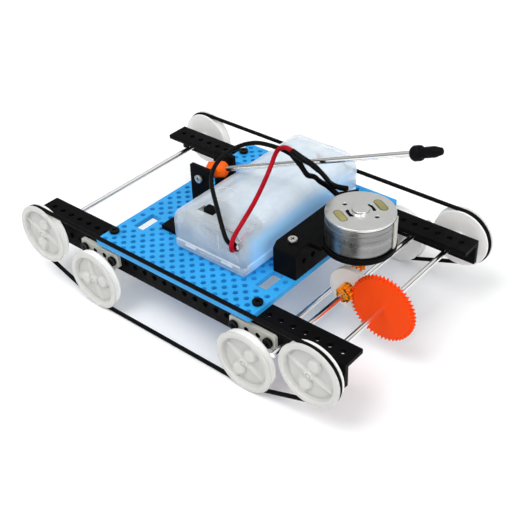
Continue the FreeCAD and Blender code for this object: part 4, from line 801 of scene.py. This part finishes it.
def wheel(node, turn):
    """A pulley wheel: a soft broad rim, recessed sectors, ribs, hub and two round bosses."""
    low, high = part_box(node)
    centre = (low + high) / 2
    right = centre.y < 0
    outer_face = Matrix.Translation((centre.x, low.y if right else high.y, centre.z))
    inward = Matrix.Rotation(math.radians(-90 if right else 90), 4, "X")
    turning = Matrix.Rotation(math.radians(-turn if right else turn), 4, "Z")
    matrix = outer_face @ inward @ turning
    mesh = bmesh.new()
    angles = [2 * math.pi * side / SIDES for side in range(SIDES)]
    rings = [[mesh.verts.new(matrix @ (Vector((0, 0, face_depth(0, 0))) * MM))] * SIDES]
    for radius in AXLE_RADII + WEB_RADII + RIM_RADII:
        rings.append([mesh.verts.new(matrix @ (turned(radius, angle, face_depth(radius, angle)) * MM))
                      for angle in angles])
    rings.append([mesh.verts.new(matrix @ (turned(RIM_RADIUS, angle, RIM_EDGE) * MM)) for angle in angles])
    seam = len(AXLE_RADII)
    # Painted shade: the ring of faces round the axle's end takes a dark grey.
    for face in join_rings(mesh, [rings[seam], rings[seam - 1]]):
        face.material_index = 2
    join_rings(mesh, rings[:seam])
    join_rings(mesh, rings[seam:])
    for face in lathe(mesh, WHEEL_BACK, matrix, SIDES):
        face.material_index = 1
    bmesh.ops.remove_doubles(mesh, verts=mesh.verts, dist=RIM_WELD * MM)
    piece = settle(piece_from(node + "_skin", mesh, 60), node)
    piece.data.materials.append(wheel_back_glow)
    piece.data.materials.append(axle_ring_shade)


# Painted light: the wheels' backs take a paler copy of the wheels' plastic with a faint glow, so the far
# wheels' shaded inner faces read lighter.
wheel_back_glow = plastic("wheel_back_glow", (0.87, 0.87, 0.85), 0.4, vary=0.03, Emission_Color=(1, 1, 0.98, 1),
                     Emission_Strength=0.05, **SOFT_INSIDE)
# Painted shade for the ring round the axle's end on the closed hub.
axle_ring_shade = plastic("axle_ring_shade", (0.26, 0.26, 0.25), 0.5)
# How far the wheels of each axle are turned, in degrees.
WHEEL_TURNS = {"rear_upper": 72, "rear_lower": 15, "front_upper": 68, "front_lower": 57}
for axle, turn in WHEEL_TURNS.items():
    for side in ("right", "left"):
        wheel(f"wheel_{axle}_{side}", turn)


# ---------------------------------------------------------------- motor

ROUND_THE_CAN = (0.05, 0.05, 1)


def shaded_banded_can():
    """Drawn steel whose tone steps down the side in soft bands, darker than the cap's can_steel: painted
    shade on the can's side.
    """
    finish = Finish("can_side_shaded", Metallic=1.0)
    bands = finish.noise(2.4, 1, 0.5, finish.stretched(ROUND_THE_CAN))
    finish.tint(bands, (0.20, 0.205, 0.20), (0.32, 0.325, 0.32))
    finish.gloss(finish.noise(3, 4, 0.6), 0.24, 0.36)
    finish.bump(finish.noise(0.5, 2, 0.5, finish.stretched(ROUND_THE_CAN)), 0.004, 0.5)
    return finish.material


CAN_STEP = 0.12
CAN_WALL = 0.8
CAN_HOLE = 1.5


def motor_can():
    """The can: a wall that steps out and in again by CAN_STEP, closed below round the shaft's hole."""
    low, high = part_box("motor_can")
    centre = Matrix.Translation(((low.x + high.x) / 2, (low.y + high.y) / 2, 0))
    radius, foot, top = (high.x - low.x) / 2 / MM, low.z / MM, high.z / MM
    narrow, inner = radius - CAN_STEP, radius - CAN_WALL
    profile = [
        (CAN_HOLE, foot), (radius - 0.25, foot), (radius - 0.25, foot + 0.9), (narrow, foot + 1.1),
        (narrow, top - 4.3), (radius, top - 4.1), (radius, top - 2.1), (narrow, top - 1.9),
        (narrow, top - 0.3), (inner, top - 0.05), (inner, foot + CAN_WALL),
        (CAN_HOLE, foot + CAN_WALL), (CAN_HOLE, foot)]
    mesh = bmesh.new()
    lathe(mesh, rounded(profile, 0.12), centre, 128)
    settle(piece_from("motor_can_skin", mesh, 60), "motor_can", finish=shaded_banded_can())


# Each patch's distance from the motor's axis, bend radius, half length, half width and how far it
# stands proud, in millimetres.
CAP_SLOT = (4.45, 4.45, 1.85, 0.5, 0.02)
CAP_WINDOW_EDGE = (7.75, 30, 2.2, 1.5, 0.02)
CAP_WINDOW = (7.75, 30, 2.2, 1.2, 0.05)
CAP_TURNS = (62, 242)
CAP_THICKNESS = 1.0
PATCH_THICKNESS = 0.3


def curved_patch(mesh, place, radius, bend, half_width, height):
    """A thin flat patch with round ends, bent by an angle to each side of the place's X axis; its
    upper face lies at a height."""
    outline = []
    for end in (1, -1):
        middle = Vector((math.cos(bend * end), math.sin(bend * end))) * radius
        for step in range(13):
            turn = bend * end + math.radians(15 * step + (0 if end > 0 else 180))
            outline.append(middle + Vector((math.cos(turn), math.sin(turn))) * half_width)
        for step in range(1, 8):
            turn = bend * end * (1 - step / 4)
            outline.append(Vector((math.cos(turn), math.sin(turn))) * (radius - half_width * end))
    rings = [[mesh.verts.new(place @ (Vector((*spot, z)) * MM)) for spot in outline]
             for z in (height - PATCH_THICKNESS, height)]
    join_rings(mesh, rings)
    mesh.faces.new(rings[1])
    mesh.faces.new(rings[0][::-1])


def cap_details():
    """The end cap's two olive windows with their dark edges, and its two curved slots as flat black patches,
    painted shade for the slots' insides.
    """
    low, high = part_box("motor_cap")
    centre = Matrix.Translation(((low.x + high.x) / 2, (low.y + high.y) / 2, 0))
    top = box_mm("motor_can")[1].z + CAP_THICKNESS
    # Painted shade: flat black patches on the cap's top stand for the shade inside its curved slots.
    slot_shade_black = plastic("slot_shade_black", (0.006, 0.006, 0.006), 0.6, Specular_IOR_Level=0.0)
    window_edge = plastic("window_edge", (0.13, 0.11, 0.05), 0.5)
    window_olive = plastic("window_olive", (0.30, 0.28, 0.11), 0.4, vary=0.3)
    layers = (("cap_slot_shades", CAP_SLOT, slot_shade_black), ("cap_window_edges", CAP_WINDOW_EDGE, window_edge),
              ("cap_windows", CAP_WINDOW, window_olive))
    for name, (distance, bend_radius, half_length, half_width, proud), finish in layers:
        mesh = bmesh.new()
        for turn in CAP_TURNS:
            turning = Matrix.Rotation(math.radians(turn), 4, "Z")
            place = centre @ turning @ Matrix.Translation(((distance - bend_radius) * MM, 0, 0))
            curved_patch(mesh, place, bend_radius, half_length / bend_radius, half_width, top + proud)
        add_detail(piece_from(name, mesh), "motor_cap", finish)


motor_can()
cap_details()
skin("motor_cap", 0.2)


# ---------------------------------------------------------------- gun

# How far the barrel rises above the level, in degrees.
GUN_TILT = 23
BUSH_BACK_SHARE = 0.3
BUSH_WIDTH_SHARE = 0.9
# Profiles along the barrel: radius, and distance from the pivot, in millimetres.
BARREL = [(0, 2.5), (1.0, 2.5), (1.0, 100.9), (0, 100.9)]
MUZZLE = [(0, 93.0), (2.0, 93.0), (2.5, 93.8), (2.5, 95.8), (2.35, 96.4), (1.7, 96.5), (1.78, 98.6),
          (1.8, 101.2), (1.35, 102.9), (1.12, 103.9), (0, 103.95)]


def along_barrel():
    """A matrix whose origin is the gun's pivot and whose Z axis runs out along the barrel."""
    pivot = next(joint for joint in frame["joints"] if joint["name"] == "gun_pitch")["pos_m"]
    return Matrix.Translation(pivot) @ Matrix.Rotation(math.pi / 2 - math.radians(GUN_TILT), 4, "Y")


def gun():
    """The steel barrel and the rubber muzzle on its end."""
    barrel = along_barrel()
    mesh = bmesh.new()
    lathe(mesh, rounded(BARREL, 0.2), barrel, 32)
    settle(piece_from("gun_barrel_skin", mesh), "gun_barrel")
    mesh = bmesh.new()
    lathe(mesh, rounded(MUZZLE, 0.25), barrel, 48)
    settle(piece_from("gun_muzzle_skin", mesh), "gun_muzzle")


def gun_bush():
    """The orange cone on the barrel's foot, blunt behind the pivot."""
    barrel = along_barrel()
    back = barrel.inverted()

    def blunted(mesh):
        """Shorten what lies behind the pivot, and narrow the whole cone."""
        for vert in mesh.verts:
            place = back @ vert.co
            if place.z < 0:
                place.z *= BUSH_BACK_SHARE
            place.xy *= BUSH_WIDTH_SHARE
            vert.co = barrel @ place

    skin("gun_bush", 0.12, reshape=blunted)


gun()
gun_bush()


# ---------------------------------------------------------------- leads and sleeves

LEAD = 1.6 * MM
SLEEVE = 1.9 * MM


def cord(name, diameter, route, swell=()):
    """A lead on a smooth line led by its route; swell scales the width at each of the route's points."""
    curve = bpy.data.curves.new(name, "CURVE")
    curve.dimensions = "3D"
    curve.bevel_depth = diameter / 2
    curve.bevel_resolution = 6
    curve.resolution_u = 12
    curve.use_fill_caps = True
    spline = curve.splines.new("NURBS")
    spline.points.add(len(route) - 1)
    for index, spot in enumerate(route):
        spline.points[index].co = (*(Vector(spot) * MM), 1)
        spline.points[index].radius = swell[index] if swell else 1
    spline.order_u = 3
    spline.use_endpoint_u = True
    piece = bpy.data.objects.new(name, curve)
    scene.collection.objects.link(piece)
    return piece


BLACK_ROUTE = [(11.0, -25.0, 42.6), (14.6, -25.4, 42.8), (17.6, -27.4, 42.9), (19.2, -30.4, 43.1),
               (19.5, -33.3, 44.8), (18.8, -34.4, 48.2), (15.0, -32.0, 51.6), (10.0, -28.0, 53.0),
               (5.0, -24.0, 53.8), (-0.3, -19.6, 55.4), (-2.9, -15.4, 57.8), (-3.4, -10.6, 59.9),
               (-1.8, -6.2, 61.9), (2.4, -3.8, 64.4), (7.4, -3.0, 66.3), (12.2, -3.0, 67.1),
               (16.8, -2.7, 67.2), (20.2, -2.6, 67.0), (22.6, -2.4, 66.2)]
RED_ROUTE = [(16.0, -20.0, 40.4), (17.0, -23.6, 40.4), (18.4, -27.2, 40.6), (19.3, -30.6, 40.8),
             (20.4, -33.4, 42.4), (21.2, -34.2, 45.4), (21.6, -33.2, 48.6), (21.9, -28.6, 52.2),
             (20.6, -20.4, 55.6), (18.4, -12.0, 59.4), (17.6, -7.4, 63.1), (17.7, -5.7, 66.2),
             (18.8, -4.7, 68.6), (21.0, -4.2, 69.6), (23.1, -4.0, 69.4), (25.0, -3.9, 68.4)]
FRONT_SLEEVE_ROUTE = [(22.6, -2.4, 66.2), (25.4, -2.7, 65.0), (27.6, -2.6, 62.4), (28.3, -1.1, 59.3),
                      (29.3, 1.6, 58.2), (29.9, 3.8, 55.2), (31.5, 6.2, 52.9), (33.4, 7.6, 50.5),
                      (35.28, 7.98, 49.2)]
REAR_SLEEVE_ROUTE = [(23.7, -4.0, 69.1), (25.0, -3.9, 68.4), (28.6, -4.3, 67.6), (31.6, -4.1, 67.0),
                     (33.3, -3.2, 65.4), (34.2, -0.9, 62.5), (34.7, 1.1, 59.6), (34.0, 4.0, 56.1),
                     (35.2, 6.9, 53.2), (37.04, 10.41, 51.6)]
FRONT_SWELL = (1.0, 1.2, 0.92, 1.08, 0.95, 1.0, 1.0, 1.05, 1.1)
REAR_SWELL = (1.0, 1.2, 1.25, 1.05, 1.12, 0.88, 1.0, 0.95, 1.1, 1.1)
sleeve_front = settle(cord("sleeve_front_skin", SLEEVE, FRONT_SLEEVE_ROUTE, FRONT_SWELL), "sleeve_front")
sleeve_rear = settle(cord("sleeve_rear_skin", SLEEVE, REAR_SLEEVE_ROUTE, REAR_SWELL), "sleeve_rear")
black_lead = settle(cord("lead_black_skin", LEAD, BLACK_ROUTE), "lead_black")
red_lead = settle(cord("lead_red_skin", LEAD, RED_ROUTE), "lead_red")
Vector(BLACK_ROUTE[3]) * MM
Vector(RED_ROUTE[3]) * MM


# ---------------------------------------------------------------- stage and light

def shown_directly(nodes, link):
    """1 for camera, mirror and see-through rays and 0 for the rays that light the object, and the
    Light Path node itself."""
    path = nodes.new("ShaderNodeLightPath")
    shown = path.outputs["Is Camera Ray"]
    for ray in ("Is Glossy Ray", "Is Transmission Ray"):
        larger = nodes.new("ShaderNodeMath")
        larger.operation = "MAXIMUM"
        link(shown, larger.inputs[0])
        link(path.outputs[ray], larger.inputs[1])
        shown = larger.outputs[0]
    return shown, path


# Metres for the floor's sizes, and emission strengths for its lifts.
FLOOR_HALF = 3.0
FLOOR_GAP = 0.05 * MM
FLOOR_FADE = (0.25, 1.2)
FLOOR_LIFT = 0.11
FLOOR_FAR_LIFT = 0.4


def floor():
    """A plain pale floor that keeps the car's shadow and shows as white further off."""
    mesh = bmesh.new()
    corners = ((-1, -1), (1, -1), (1, 1), (-1, 1))
    mesh.faces.new([mesh.verts.new((x * FLOOR_HALF, y * FLOOR_HALF, 0)) for x, y in corners])
    data = bpy.data.meshes.new("floor")
    mesh.to_mesh(data)
    mesh.free()
    piece = bpy.data.objects.new("floor", data)
    scene.collection.objects.link(piece)
    finish = Finish("floor", Roughness=0.8, Specular_IOR_Level=0.1)
    finish.tint(finish.noise(120, 2), (0.925, 0.93, 0.935), (0.935, 0.94, 0.945))
    away = finish.nodes.new("ShaderNodeVectorMath")
    away.operation = "LENGTH"
    finish.link(finish.place, away.inputs[0])
    shown, path = shown_directly(finish.nodes, finish.link)
    far_off = finish.combine("MULTIPLY", finish.between(away.outputs["Value"], *FLOOR_FADE),
                             path.outputs["Is Camera Ray"])
    near_lift = finish.combine("MULTIPLY", shown, FLOOR_LIFT)
    far_lift = finish.combine("MULTIPLY", far_off, FLOOR_FAR_LIFT)
    lift = finish.combine("ADD", near_lift, far_lift)
    finish.shader.inputs["Emission Color"].default_value = (0.97, 0.985, 1, 1)
    finish.link(lift, finish.shader.inputs["Emission Strength"])
    piece.data.materials.append(finish.material)
    piece.location.z = min(0, cad_bounds[0].z) - FLOOR_GAP


SKY_LIGHT = 0.60
MIRRORED_SKY = {"From Min": 0.15, "From Max": 0.85, "To Min": 0.20, "To Max": 1.0}


def world():
    """A white surround: even light on the object, and a strength of 1 where it is seen directly. What
    metal mirrors gets darker from above to below."""
    surround = bpy.data.worlds.new("surround")
    scene.world = surround
    surround.use_nodes = True
    nodes, link = surround.node_tree.nodes, surround.node_tree.links.new
    background = nodes["Background"]
    background.inputs["Color"].default_value = (1, 1, 1, 1)
    seen, path = shown_directly(nodes, link)
    height = nodes.new("ShaderNodeSeparateXYZ")
    link(nodes.new("ShaderNodeTexCoord").outputs["Generated"], height.inputs["Vector"])
    mirrored = nodes.new("ShaderNodeMapRange")
    for socket, value in MIRRORED_SKY.items():
        mirrored.inputs[socket].default_value = value
    link(height.outputs["Z"], mirrored.inputs["Value"])
    shown = nodes.new("ShaderNodeMix")
    link(path.outputs["Is Glossy Ray"], shown.inputs["Factor"])
    shown.inputs["A"].default_value = 1.0
    link(mirrored.outputs["Result"], shown.inputs["B"])
    strength = nodes.new("ShaderNodeMix")
    link(seen, strength.inputs["Factor"])
    strength.inputs["A"].default_value = SKY_LIGHT
    link(shown.outputs["Result"], strength.inputs["B"])
    link(strength.outputs["Result"], background.inputs["Strength"])


def area_light(name, spot, aim, size, power):
    """A round soft light at a spot, aimed at another, in metres and watts."""
    light = bpy.data.lights.new(name, "AREA")
    light.shape = "DISK"
    light.size = size
    light.energy = power
    holder = bpy.data.objects.new(name, light)
    holder.location = spot
    holder.rotation_euler = (Vector(aim) - Vector(spot)).to_track_quat("-Z", "Y").to_euler()
    scene.collection.objects.link(holder)


floor()
world()
area_light("key", (-0.3, -0.8, 1.65), (0, 0, 0.02), 1.1, 16)
area_light("fill", (1.4, -0.45, 1.15), (0, 0, 0.03), 1.2, 12)
scene.view_settings.view_transform = "Standard"
